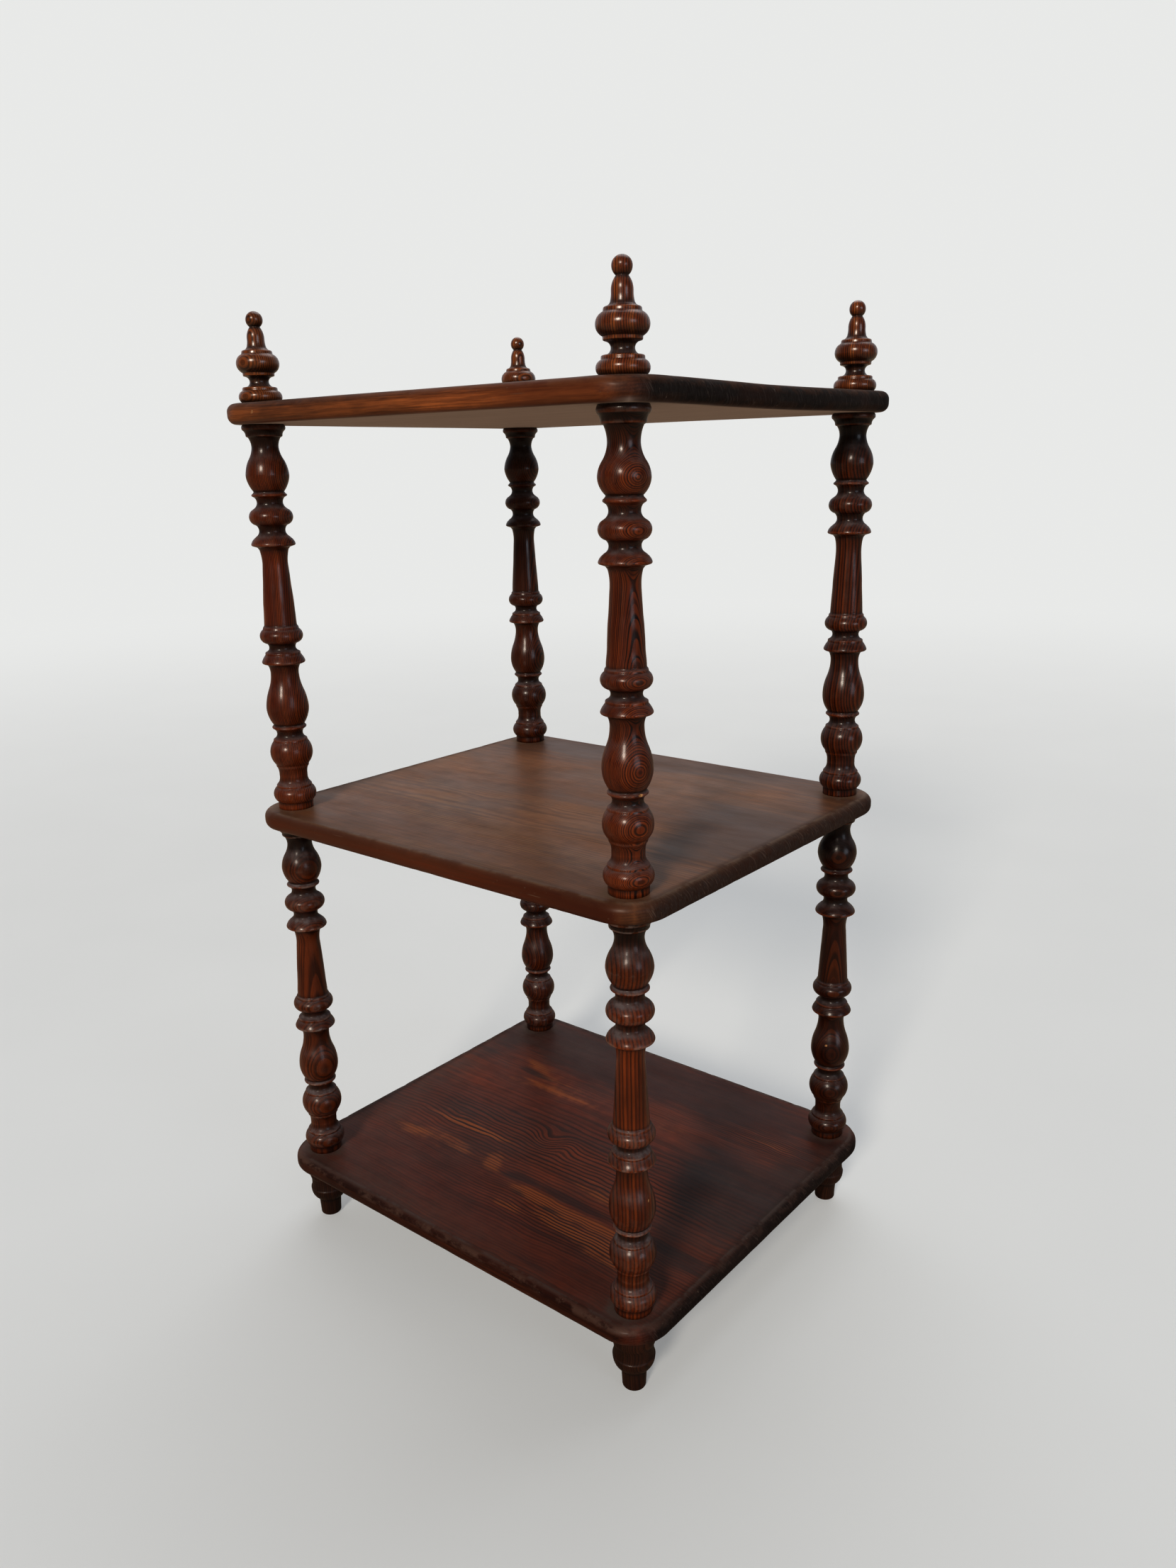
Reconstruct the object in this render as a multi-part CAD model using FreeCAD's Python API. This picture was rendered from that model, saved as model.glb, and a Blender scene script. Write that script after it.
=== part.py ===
import FreeCAD, Part
import math
import os

# Three-tier etagere of turned and stained pine.
# Three boards stand one above another on four corner columns.  Every column is
# a stack of separate turnings: foot, lower post, upper post and finial.  The
# posts end in round tenons that run down through the board below them into the
# turning underneath, and each finial has a peg that runs down through the top
# board into the upper post.
# Frame: origin on the floor under the middle of the boards, +Z up, +X along
# the grain of the boards, -Y the front.  Millimetres.

V = FreeCAD.Vector

# ---------------------------------------------------------------- dimensions
POST_SPACING_X = 400.0      # column centre to column centre, along the grain
POST_SPACING_Y = 338.0      # column centre to column centre, across the grain

SHELF_LENGTH = 464.0        # along X, at the fullest point of the edge
SHELF_DEPTH = 402.0         # along Y
SHELF_THICKNESS = 17.5
SHELF_CORNER_R = 37.5       # plan radius of the corners
SHELF_EDGE_R = 7.0          # rounding of the upper and lower arrises

FOOT_HEIGHT = 59.5
POST_HEIGHT = 351.0         # both tiers carry the same turned post

FINIAL_BALL_R = 7.15
FINIAL_BALL_Z = 68.9        # height of the ball's centre over the board
FINIAL_NECK_R = 4.3

TENON_R = 7.0               # post tenons
TENON_DEPTH = 20.0          # how far a tenon goes into the turning below
TENON_CLEARANCE = 0.05      # on the radius, filled by the glue line
TENON_END_GAP = 2.0         # glue room under the end of a tenon
TENON_CHAMFER = 1.2

PEG_R = 5.0                 # finial pegs, dry fitted
PEG_DEPTH = 20.0            # how far a peg goes into the upper post
PEG_CLEARANCE = 0.05        # running fit, on the radius
PEG_END_GAP = 2.0
PEG_CHAMFER = 1.0

# ---------------------------------------------------------- derived heights
BOTTOM_TOP_Z = FOOT_HEIGHT + SHELF_THICKNESS
MIDDLE_UNDER_Z = BOTTOM_TOP_Z + POST_HEIGHT
MIDDLE_TOP_Z = MIDDLE_UNDER_Z + SHELF_THICKNESS
TOP_UNDER_Z = MIDDLE_TOP_Z + POST_HEIGHT
TOP_TOP_Z = TOP_UNDER_Z + SHELF_THICKNESS

COLUMNS = {
    "front_left": (-POST_SPACING_X / 2, -POST_SPACING_Y / 2),
    "front_right": (POST_SPACING_X / 2, -POST_SPACING_Y / 2),
    "back_left": (-POST_SPACING_X / 2, POST_SPACING_Y / 2),
    "back_right": (POST_SPACING_X / 2, POST_SPACING_Y / 2),
}

# ------------------------------------------------------------ turned profiles
# A profile is a list of cuts going up the turning.  ("to", z, r) is a straight
# cut to that height and radius, ("arc", zm, rm, z, r) is a round cut through
# the middle point.  The first entry is the starting point.
POST_PROFILE = [
    ("to", 0.0, 16.1),                       # plain round base
    ("to", 6.59, 16.1),
    ("arc", 13.67, 19.75, 20.56, 16.8),      # base torus
    ("to", 20.86, 16.35),
    ("to", 22.75, 16.3),                     # fillet
    ("arc", 23.95, 15.2, 25.55, 14.0),
    ("arc", 28.34, 13.1, 31.93, 13.0),       # first neck, long and flat
    ("arc", 36.13, 13.15, 39.12, 13.9),
    ("to", 41.02, 15.1),
    ("to", 42.91, 15.3),                     # fillet
    ("arc", 54.89, 19.65, 65.2, 15.75),      # ball
    ("to", 67.1, 15.5),                      # fillet
    ("to", 67.7, 14.6),
    ("arc", 73.05, 11.85, 76.6, 13.7),       # neck
    ("to", 77.5, 15.0),
    ("arc", 78.6, 15.75, 79.8, 15.0),        # thin ring
    ("to", 80.9, 14.2),
    ("to", 81.4, 14.2),
    ("arc", 88.42, 17.85, 98.2, 19.3),       # vase, swelling
    ("arc", 106.86, 18.1, 113.75, 15.9),
    ("arc", 120.05, 13.95, 128.7, 12.75),    # vase, waist
    ("arc", 132.8, 12.95, 136.3, 14.0),
    ("to", 137.9, 15.0),
    ("to", 138.9, 18.5),
    ("arc", 139.6, 19.4, 140.9, 19.55),    # sharp-bottomed collar
    ("arc", 144.2, 17.95, 147.0, 15.9),
    ("to", 149.0, 15.9),                     # fillet
    ("to", 149.7, 14.8),
    ("arc", 153.9, 11.85, 157.6, 13.6),      # neck
    ("arc", 164.4, 19.35, 170.4, 16.3),      # bead
    ("to", 172.6, 15.9),                     # fillet
    ("arc", 173.6, 15.0, 175.2, 14.75),
    ("arc", 201.78, 13.15, 227.2, 11.5),     # long shaft
    ("arc", 236.8, 11.65, 242.6, 12.8),
    ("to", 244.7, 14.5),
    ("to", 245.9, 18.4),
    ("arc", 246.5, 19.25, 247.6, 19.45),      # sharp-bottomed collar
    ("arc", 250.4, 18.2, 252.6, 16.2),
    ("to", 254.0, 14.7),
    ("arc", 259.2, 11.55, 264.2, 13.7),      # neck
    ("arc", 271.0, 19.25, 278.1, 15.2),      # bead
    ("to", 278.8, 14.3),
    ("arc", 284.2, 11.45, 288.4, 13.2),      # neck
    ("to", 289.3, 14.8),
    ("arc", 290.2, 15.65, 291.3, 15.0),      # thin ring
    ("to", 292.5, 13.7),
    ("to", 293.4, 13.3),
    ("arc", 299.4, 16.9, 307.6, 18.95),      # bulb
    ("arc", 315.35, 17.65, 321.11, 15.1),
    ("arc", 325.48, 13.0, 331.44, 11.7),
    ("arc", 336.8, 12.6, 339.98, 14.2),
    ("to", 340.77, 15.9),
    ("to", 343.15, 16.2),                    # fillet
    ("arc", 344.94, 17.1, 346.33, 18.6),     # collar under the board
    ("arc", 348.72, 19.05, 351.0, 17.6),
]

# The upper post at the front right corner was turned by eye like the rest, and its
# members came out a few millimetres lower.  Each pair is the usual height and the
# height on this post.
FRONT_POST_STATIONS = [
    (0.0, 0.0), (60.0, 60.0), (100.0, 99.4), (135.0, 133.3), (149.0, 147.1),
    (175.0, 172.6), (232.0, 230.0), (247.5, 245.6), (254.0, 251.6), (259.0, 255.9),
    (266.0, 262.2), (272.0, 269.0), (279.0, 275.2), (288.0, 284.6), (293.4, 290.8),
    (300.0, 295.8), (309.0, 304.5), (320.0, 313.2), (327.0, 320.0), (336.0, 332.0),
    (340.0, 337.5), (343.5, 341.7), (351.0, 351.0),
]

FINIAL_PROFILE = [
    ("to", 0.0, 14.9),
    ("arc", 5.6, 18.6, 10.4, 15.6),          # base torus
    ("to", 10.6, 15.0),
    ("to", 12.9, 14.9),                      # fillet
    ("to", 13.5, 14.2),
    ("to", 13.9, 11.2),
    ("arc", 18.6, 8.15, 22.2, 11.0),         # neck
    ("to", 22.8, 13.1),
    ("to", 23.2, 13.5),
    ("to", 25.5, 13.6),                      # fillet
    ("arc", 33.5, 18.45, 40.7, 13.7),        # bun
    ("to", 41.0, 13.2),
    ("to", 43.2, 12.95),                     # ledge
    ("to", 43.9, 12.2),
    ("to", 44.3, 10.6),
    ("arc", 45.6, 8.95, 48.0, 8.0),
    ("arc", 50.6, 7.6, 53.4, 7.5),
    ("arc", 59.0, 6.6, 62.2, 4.3),           # bell
    ("arc", FINIAL_BALL_Z, FINIAL_BALL_R, FINIAL_BALL_Z + FINIAL_BALL_R, 0.0),
]

FOOT_PROFILE = [
    ("to", 0.0, 8.4),
    ("arc", 0.8, 9.7, 2.6, 10.2),            # worn round tip
    ("to", 19.2, 11.1),                      # tapered peg
    ("to", 19.6, 12.6),
    ("arc", 24.2, 16.6, 30.6, 18.3),         # cup
    ("to", 32.2, 18.5),
    ("to", 33.0, 17.8),
    ("arc", 38.5, 17.15, 44.2, 17.6),        # shallow hollow band
    ("to", 45.4, 18.3),
    ("arc", 52.5, 18.9, 58.6, 17.4),         # bead under the board
    ("to", FOOT_HEIGHT, 16.9),
]


def arc_bottom_ball(profile, centre_z, ball_r, neck_r):
    """Replaces the last cut of a finial with a true ball on its neck."""
    drop = math.sqrt(ball_r ** 2 - neck_r ** 2)
    out = profile[:-1]
    last = out[-1]
    out[-1] = (last[0], last[1], last[2], centre_z - drop, neck_r)
    out.append(("arc", centre_z, ball_r, centre_z + ball_r, 0.0))
    return out


def stretched(profile, stations):
    """The same turning with its members at other heights."""
    def at(z):
        for (a, b), (c, d) in zip(stations, stations[1:]):
            if z <= c:
                return b + (z - a) * (d - b) / (c - a)
        return z
    return [(c[0], at(c[1]), c[2]) if c[0] == "to" else (c[0], at(c[1]), c[2], at(c[3]), c[4])
            for c in profile]


def outer_edges(profile, base_z):
    """Edges of a profile in the XZ plane, from the bottom up."""
    edges = []
    z, r = profile[0][1], profile[0][2]
    for cut in profile[1:]:
        if cut[0] == "to":
            z2, r2 = cut[1], cut[2]
            edges.append(Part.makeLine(V(r, 0, base_z + z), V(r2, 0, base_z + z2)))
        else:
            zm, rm, z2, r2 = cut[1], cut[2], cut[3], cut[4]
            edges.append(Part.Arc(V(r, 0, base_z + z), V(rm, 0, base_z + zm),
                                  V(r2, 0, base_z + z2)).toShape())
        z, r = z2, r2
    return edges, z, r


def turn(profile, base_z, tenon=None, bore=None):
    """Turns a solid about Z.

    tenon is (radius, length, chamfer) hanging below the base, bore is
    (radius, depth) going down from the top.
    """
    edges, z_end, r_end = outer_edges(profile, base_z)
    r0 = profile[0][2]
    z0 = base_z + profile[0][1]
    zt = base_z + z_end
    if tenon:
        tr, tl, tc = tenon
        low = [V(0, 0, z0 - tl), V(tr - tc, 0, z0 - tl), V(tr, 0, z0 - tl + tc),
               V(tr, 0, z0), V(r0, 0, z0)]
    else:
        low = [V(0, 0, z0), V(r0, 0, z0)]
    if bore:
        br, bd = bore
        # the bore ends in the shallow cone that its bit leaves
        top = [V(r_end, 0, zt), V(br, 0, zt), V(br, 0, zt - bd),
               V(0, 0, zt - bd - br * 0.25)]
    elif r_end > 1e-6:
        top = [V(r_end, 0, zt), V(0, 0, zt)]
    else:
        top = [V(0, 0, zt)]
    wire_edges = [Part.makeLine(a, b) for a, b in zip(low, low[1:])]
    wire_edges += edges
    wire_edges += [Part.makeLine(a, b) for a, b in zip(top, top[1:])]
    wire_edges.append(Part.makeLine(top[-1], low[0]))
    face = Part.Face(Part.Wire(wire_edges))
    return face.revolve(V(0, 0, 0), V(0, 0, 1), 360)


def rounded_slab(length, depth, corner_r, thickness, edge_r, base_z):
    """A board with round corners in plan and soft arrises."""
    x, y, r = length / 2, depth / 2, corner_r
    k = r * (1 - math.sqrt(0.5))
    pts = [
        ("l", V(-x + r, -y, 0), V(x - r, -y, 0)),
        ("a", V(x - r, -y, 0), V(x - k, -y + k, 0), V(x, -y + r, 0)),
        ("l", V(x, -y + r, 0), V(x, y - r, 0)),
        ("a", V(x, y - r, 0), V(x - k, y - k, 0), V(x - r, y, 0)),
        ("l", V(x - r, y, 0), V(-x + r, y, 0)),
        ("a", V(-x + r, y, 0), V(-x + k, y - k, 0), V(-x, y - r, 0)),
        ("l", V(-x, y - r, 0), V(-x, -y + r, 0)),
        ("a", V(-x, -y + r, 0), V(-x + k, -y + k, 0), V(-x + r, -y, 0)),
    ]
    edges = []
    for p in pts:
        if p[0] == "l":
            edges.append(Part.makeLine(p[1], p[2]))
        else:
            edges.append(Part.Arc(p[1], p[2], p[3]).toShape())
    slab = Part.Face(Part.Wire(edges)).extrude(V(0, 0, thickness))
    rims = [e for e in slab.Edges
            if abs(e.BoundBox.ZMax - e.BoundBox.ZMin) < 1e-6]
    slab = slab.makeFillet(edge_r, rims)
    slab.translate(V(0, 0, base_z))
    return slab


def board(base_z, hole_r):
    """One of the three boards, drilled for the four columns."""
    slab = rounded_slab(SHELF_LENGTH, SHELF_DEPTH, SHELF_CORNER_R,
                        SHELF_THICKNESS, SHELF_EDGE_R, base_z)
    for (px, py) in COLUMNS.values():
        slab = slab.cut(Part.makeCylinder(hole_r, SHELF_THICKNESS + 20,
                                          V(px, py, base_z - 10), V(0, 0, 1)))
    return slab.Solids[0] if slab.ShapeType != "Solid" and len(slab.Solids) == 1 else slab


def placed(shape, x, y):
    out = shape.copy()
    out.translate(V(x, y, 0))
    return out


parts = {}

# boards
parts["bottom_shelf"] = board(FOOT_HEIGHT, TENON_R + TENON_CLEARANCE)
parts["middle_shelf"] = board(MIDDLE_UNDER_Z, TENON_R + TENON_CLEARANCE)
parts["top_shelf"] = board(TOP_UNDER_Z, PEG_R + PEG_CLEARANCE)

# turnings, made once on the axis and then set out on the four columns
tenon = (TENON_R, SHELF_THICKNESS + TENON_DEPTH, TENON_CHAMFER)
tenon_bore = (TENON_R + TENON_CLEARANCE, TENON_DEPTH + TENON_END_GAP)
peg = (PEG_R, SHELF_THICKNESS + PEG_DEPTH, PEG_CHAMFER)
peg_bore = (PEG_R + PEG_CLEARANCE, PEG_DEPTH + PEG_END_GAP)

foot = turn(FOOT_PROFILE, 0.0, bore=tenon_bore)
lower_post = turn(POST_PROFILE, BOTTOM_TOP_Z, tenon=tenon, bore=tenon_bore)
upper_post = turn(POST_PROFILE, MIDDLE_TOP_Z, tenon=tenon, bore=peg_bore)
front_upper_post = turn(stretched(POST_PROFILE, FRONT_POST_STATIONS), MIDDLE_TOP_Z,
                        tenon=tenon, bore=peg_bore)
finial = turn(arc_bottom_ball(FINIAL_PROFILE, FINIAL_BALL_Z, FINIAL_BALL_R,
                              FINIAL_NECK_R), TOP_TOP_Z, tenon=peg)

for name, (px, py) in COLUMNS.items():
    parts["foot_" + name] = placed(foot, px, py)
    parts["lower_post_" + name] = placed(lower_post, px, py)
    parts["upper_post_" + name] = placed(front_upper_post if name == "front_right" else upper_post,
                                         px, py)
    parts["finial_" + name] = placed(finial, px, py)

os.makedirs("parts", exist_ok=True)
for node, shape in parts.items():
    if not shape.isValid() or len(shape.Solids) != 1 or shape.Volume <= 0:
        raise SystemExit("bad solid: %s" % node)
    shape.exportStep("parts/%s.step" % node)
    print("%-28s %9.1f cm3" % (node, shape.Volume / 1000.0))
print("height", round(max(s.BoundBox.ZMax for s in parts.values()), 2), "mm")
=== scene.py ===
import math

import bpy
import numpy as np
from mathutils import Matrix, Vector
from mathutils.geometry import delaunay_2d_cdt


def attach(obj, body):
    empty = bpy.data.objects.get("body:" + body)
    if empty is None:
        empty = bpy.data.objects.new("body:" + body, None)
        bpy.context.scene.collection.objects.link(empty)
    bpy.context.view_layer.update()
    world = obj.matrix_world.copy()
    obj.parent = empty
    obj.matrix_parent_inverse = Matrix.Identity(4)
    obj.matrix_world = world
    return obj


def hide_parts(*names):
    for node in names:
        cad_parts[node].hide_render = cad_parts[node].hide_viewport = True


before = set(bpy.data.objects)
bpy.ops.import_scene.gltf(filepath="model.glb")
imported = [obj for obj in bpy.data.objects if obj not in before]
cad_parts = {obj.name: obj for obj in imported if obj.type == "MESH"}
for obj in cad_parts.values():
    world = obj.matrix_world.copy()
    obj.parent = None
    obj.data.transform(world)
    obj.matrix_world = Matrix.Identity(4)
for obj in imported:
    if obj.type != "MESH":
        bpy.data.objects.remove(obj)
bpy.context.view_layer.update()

# ------------------------------------------------------------------ dimensions
# Millimetres here, metres in the meshes.  They are the frame's own sizes.
MM = 0.001
SPACING_X, SPACING_Y = 400.0, 338.0
SHELF_L, SHELF_D, SHELF_T = 464.0, 402.0, 17.5
CORNER_R, EDGE_R = 37.5, 7.0
FOOT_H, POST_H = 59.5, 351.0
TENON_R, TENON_IN, PEG_R, PEG_IN, GAP, PLAY = 7.0, 20.0, 5.0, 20.0, 2.0, 0.05
Z_BOTTOM = FOOT_H                      # underside of the bottom board
Z_LOWER = Z_BOTTOM + SHELF_T           # foot of the lower posts
Z_MIDDLE = Z_LOWER + POST_H
Z_UPPER = Z_MIDDLE + SHELF_T
Z_TOP = Z_UPPER + POST_H
Z_FINIAL = Z_TOP + SHELF_T
COLUMNS = {
    "front_left": (-SPACING_X / 2, -SPACING_Y / 2),
    "front_right": (SPACING_X / 2, -SPACING_Y / 2),
    "back_left": (-SPACING_X / 2, SPACING_Y / 2),
    "back_right": (SPACING_X / 2, SPACING_Y / 2),
}

POST = [
    ("to", 0.0, 16.1), ("to", 6.59, 16.1), ("arc", 13.67, 19.75, 20.56, 16.8), ("to", 20.86, 16.35),
    ("to", 22.75, 16.3), ("arc", 23.95, 15.2, 25.55, 14.0), ("arc", 28.34, 13.1, 31.93, 13.0),
    ("arc", 36.13, 13.15, 39.12, 13.9), ("to", 41.02, 15.1), ("to", 42.91, 15.3),
    ("arc", 54.89, 19.65, 65.2, 15.75), ("to", 67.1, 15.5), ("to", 67.7, 14.6),
    ("arc", 73.05, 11.85, 76.6, 13.7), ("to", 77.5, 15.0), ("arc", 78.6, 15.75, 79.8, 15.0),
    ("to", 80.9, 14.2), ("to", 81.4, 14.2), ("arc", 88.42, 17.85, 98.2, 19.3),
    ("arc", 106.86, 18.1, 113.75, 15.9), ("arc", 120.05, 13.95, 128.7, 12.75),
    ("arc", 132.8, 12.95, 136.3, 14.0), ("to", 137.9, 15.0), ("to", 138.9, 18.5),
    ("arc", 139.6, 19.4, 140.9, 19.55), ("arc", 144.2, 17.95, 147.0, 15.9), ("to", 149.0, 15.9),
    ("to", 149.7, 14.8), ("arc", 153.9, 11.85, 157.6, 13.6), ("arc", 164.4, 19.35, 170.4, 16.3),
    ("to", 172.6, 15.9), ("arc", 173.6, 15.0, 175.2, 14.75), ("arc", 201.78, 13.15, 227.2, 11.5),
    ("arc", 236.8, 11.65, 242.6, 12.8), ("to", 244.7, 14.5), ("to", 245.9, 18.4),
    ("arc", 246.5, 19.25, 247.6, 19.45), ("arc", 250.4, 18.2, 252.6, 16.2), ("to", 254.0, 14.7),
    ("arc", 259.2, 11.55, 264.2, 13.7), ("arc", 271.0, 19.25, 278.1, 15.2), ("to", 278.8, 14.3),
    ("arc", 284.2, 11.45, 288.4, 13.2), ("to", 289.3, 14.8), ("arc", 290.2, 15.65, 291.3, 15.0),
    ("to", 292.5, 13.7), ("to", 293.4, 13.3), ("arc", 299.4, 16.9, 307.6, 18.95),
    ("arc", 315.35, 17.65, 321.11, 15.1), ("arc", 325.48, 13.0, 331.44, 11.7),
    ("arc", 336.8, 12.6, 339.98, 14.2), ("to", 340.77, 15.9), ("to", 343.15, 16.2),
    ("arc", 344.94, 17.1, 346.33, 18.6), ("arc", 348.72, 19.05, 351.0, 17.6),
]
# heights of the members on the front right upper post: usual, here
FRONT_POST_STATIONS = [
    (0.0, 0.0), (60.0, 60.0), (100.0, 99.4), (135.0, 133.3), (149.0, 147.1),
    (175.0, 172.6), (232.0, 230.0), (247.5, 245.6), (254.0, 251.6), (259.0, 255.9),
    (266.0, 262.2), (272.0, 269.0), (279.0, 275.2), (288.0, 284.6), (293.4, 290.8),
    (300.0, 295.8), (309.0, 304.5), (320.0, 313.2), (327.0, 320.0), (336.0, 332.0),
    (340.0, 337.5), (343.5, 341.7), (351.0, 351.0),
]
FINIAL = [
    ("to", 0.0, 14.9), ("arc", 5.6, 18.6, 10.4, 15.6), ("to", 10.6, 15.0), ("to", 12.9, 14.9),
    ("to", 13.5, 14.2), ("to", 13.9, 11.2), ("arc", 18.6, 8.15, 22.2, 11.0), ("to", 22.8, 13.1),
    ("to", 23.2, 13.5), ("to", 25.5, 13.6), ("arc", 33.5, 18.45, 40.7, 13.7), ("to", 41.0, 13.2),
    ("to", 43.2, 12.95), ("to", 43.9, 12.2), ("to", 44.3, 10.6), ("arc", 45.6, 8.95, 48.0, 8.0),
    ("arc", 50.6, 7.6, 53.4, 7.5), ("arc", 59.0, 6.6, 68.9 - math.sqrt(7.15 ** 2 - 4.3 ** 2), 4.3),
    ("arc", 68.9, 7.15, 76.05, 0.0),
]
FOOT = [
    ("to", 0.0, 8.4), ("arc", 0.8, 9.7, 2.6, 10.2), ("to", 19.2, 11.1), ("to", 19.6, 12.6),
    ("arc", 24.2, 16.6, 30.6, 18.3), ("to", 32.2, 18.5), ("to", 33.0, 17.8),
    ("arc", 38.5, 17.15, 44.2, 17.6), ("to", 45.4, 18.3), ("arc", 52.5, 18.9, 58.6, 17.4),
    ("to", 59.5, 16.9),
]


# ------------------------------------------------------------------ small tools
def hashed(i, j, k):
    """A repeatable number in 0..1 for each lattice point."""
    n = (i * 73856093) ^ (j * 19349663) ^ (k * 83492791)
    n = (n ^ (n >> 13)) * 1274126177
    n = n & 0x7FFFFFFF
    n = (n ^ (n >> 16)) & 0xFFFF
    return n / 65535.0


def wobble(p, seed):
    """Smooth value noise in -1..1 on an (n, 3) array."""
    p = np.asarray(p, float) + seed * 17.31
    f = np.floor(p).astype(np.int64)
    u = p - f
    u = u * u * (3 - 2 * u)
    out = 0.0
    for dx in (0, 1):
        for dy in (0, 1):
            for dz in (0, 1):
                w = ((u[:, 0] if dx else 1 - u[:, 0]) * (u[:, 1] if dy else 1 - u[:, 1])
                     * (u[:, 2] if dz else 1 - u[:, 2]))
                out = out + w * hashed(f[:, 0] + dx, f[:, 1] + dy, f[:, 2] + dz)
    return out * 2 - 1


def circle_cut(p1, pm, p2, step):
    (x1, y1), (x2, y2), (x3, y3) = p1, pm, p2
    d = 2 * (x1 * (y2 - y3) + x2 * (y3 - y1) + x3 * (y1 - y2))
    ux = ((x1 * x1 + y1 * y1) * (y2 - y3) + (x2 * x2 + y2 * y2) * (y3 - y1)
          + (x3 * x3 + y3 * y3) * (y1 - y2)) / d
    uy = ((x1 * x1 + y1 * y1) * (x3 - x2) + (x2 * x2 + y2 * y2) * (x1 - x3)
          + (x3 * x3 + y3 * y3) * (x2 - x1)) / d
    rad = math.hypot(x1 - ux, y1 - uy)
    a1, a2, a3 = (math.atan2(y - uy, x - ux) for x, y in (p1, pm, p2))
    turn = 2 * math.pi
    if (a2 - a1) % turn < (a3 - a1) % turn:
        sweep = (a3 - a1) % turn
    else:
        sweep = -((a1 - a3) % turn)
    n = max(4, int(abs(sweep) * rad / step))
    return [(ux + rad * math.cos(a1 + sweep * i / n), uy + rad * math.sin(a1 + sweep * i / n))
            for i in range(1, n + 1)]


def traced(cuts, step=0.12):
    """A dense polyline (z, r) along a turning's cuts."""
    z, r = cuts[0][1], cuts[0][2]
    out = [(z, r)]
    for c in cuts[1:]:
        if c[0] == "to":
            n = max(1, int(math.hypot(c[1] - z, c[2] - r) / step))
            out += [(z + (c[1] - z) * i / n, r + (c[2] - r) * i / n) for i in range(1, n + 1)]
            z, r = c[1], c[2]
        else:
            out += circle_cut((z, r), (c[1], c[2]), (c[3], c[4]), step)
            z, r = c[3], c[4]
    return np.array(out)


def stretched(profile, stations):
    """The same turning with its members at other heights."""
    def at(z):
        for (a, b), (c, d) in zip(stations, stations[1:]):
            if z <= c:
                return b + (z - a) * (d - b) / (c - a)
        return z
    return [(c[0], at(c[1]), c[2]) if c[0] == "to" else (c[0], at(c[1]), c[2], at(c[3]), c[4])
            for c in profile]


def evened(line, step):
    """The same line with points a fixed way apart."""
    seg = np.hypot(*np.diff(line, axis=0).T)
    s = np.concatenate([[0], np.cumsum(seg)])
    keep = np.concatenate([[True], np.diff(s) > 1e-9])
    s, line = s[keep], line[keep]
    t = np.linspace(0, s[-1], max(2, int(s[-1] / step)))
    return np.stack([np.interp(t, s, line[:, 0]), np.interp(t, s, line[:, 1])], 1)


def blurred(v, sigma):
    """Gaussian smoothing along a line, with its ends held."""
    n = int(3 * sigma) + 1
    k = np.exp(-0.5 * (np.arange(-n, n + 1) / sigma) ** 2)
    k /= k.sum()
    pad = np.concatenate([2 * v[0] - v[n:0:-1], v, 2 * v[-1] - v[-2:-n - 2:-1]])
    return np.convolve(pad, k, "valid")


def thinned(line, tol, widest):
    """Douglas-Peucker, with no gap left wider than widest."""
    keep = {0, len(line) - 1}
    stack = [(0, len(line) - 1)]
    while stack:
        a, b = stack.pop()
        if b - a < 2:
            continue
        p, q = line[a], line[b]
        d = q - p
        ln = max(np.hypot(*d), 1e-9)
        off = np.abs((line[a + 1:b, 0] - p[0]) * d[1] - (line[a + 1:b, 1] - p[1]) * d[0]) / ln
        i = int(off.argmax())
        if off[i] > tol or ln > widest:
            m = a + 1 + (i if off[i] > tol else (b - a) // 2 - 1)
            m = min(max(m, a + 1), b - 1)
            keep.add(m)
            stack += [(a, m), (m, b)]
    return sorted(keep)


def put(me, name, values, kind="FLOAT"):
    at = me.attributes.new(name, kind, "POINT")
    if kind == "FLOAT":
        at.data.foreach_set("value", np.asarray(values, np.float32).ravel())
    else:
        at.data.foreach_set("vector", np.asarray(values, np.float32).ravel())


def smooth_shade(me, angle=50):
    me.polygons.foreach_set("use_smooth", [True] * len(me.polygons))
    me.update()


def make(name, verts, faces, body, node, material):
    me = bpy.data.meshes.new(name)
    me.from_pydata([tuple(v) for v in verts], [], faces)
    me.validate()
    smooth_shade(me)
    ob = bpy.data.objects.new(name, me)
    bpy.context.scene.collection.objects.link(ob)
    me.materials.append(material)
    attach(ob, body)
    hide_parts(node)
    return ob


# ------------------------------------------------------------------- turnings
def ring_count(rho, near, far, reach=16.0):
    """Growth rings counted outward from the axis of a turning: rho is millimetres away
    from the pith, near and far the ring widths on the pith side and the bark side."""
    r = np.linspace(-24, 24, 481)
    t = np.clip((r + reach * 0.35) / reach, 0, 1)
    width = near + (far - near) * t * t * (3 - 2 * t)
    count = np.concatenate([[0], np.cumsum(0.1 / ((width[1:] + width[:-1]) / 2))])
    return np.interp(rho, r, count)


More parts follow.
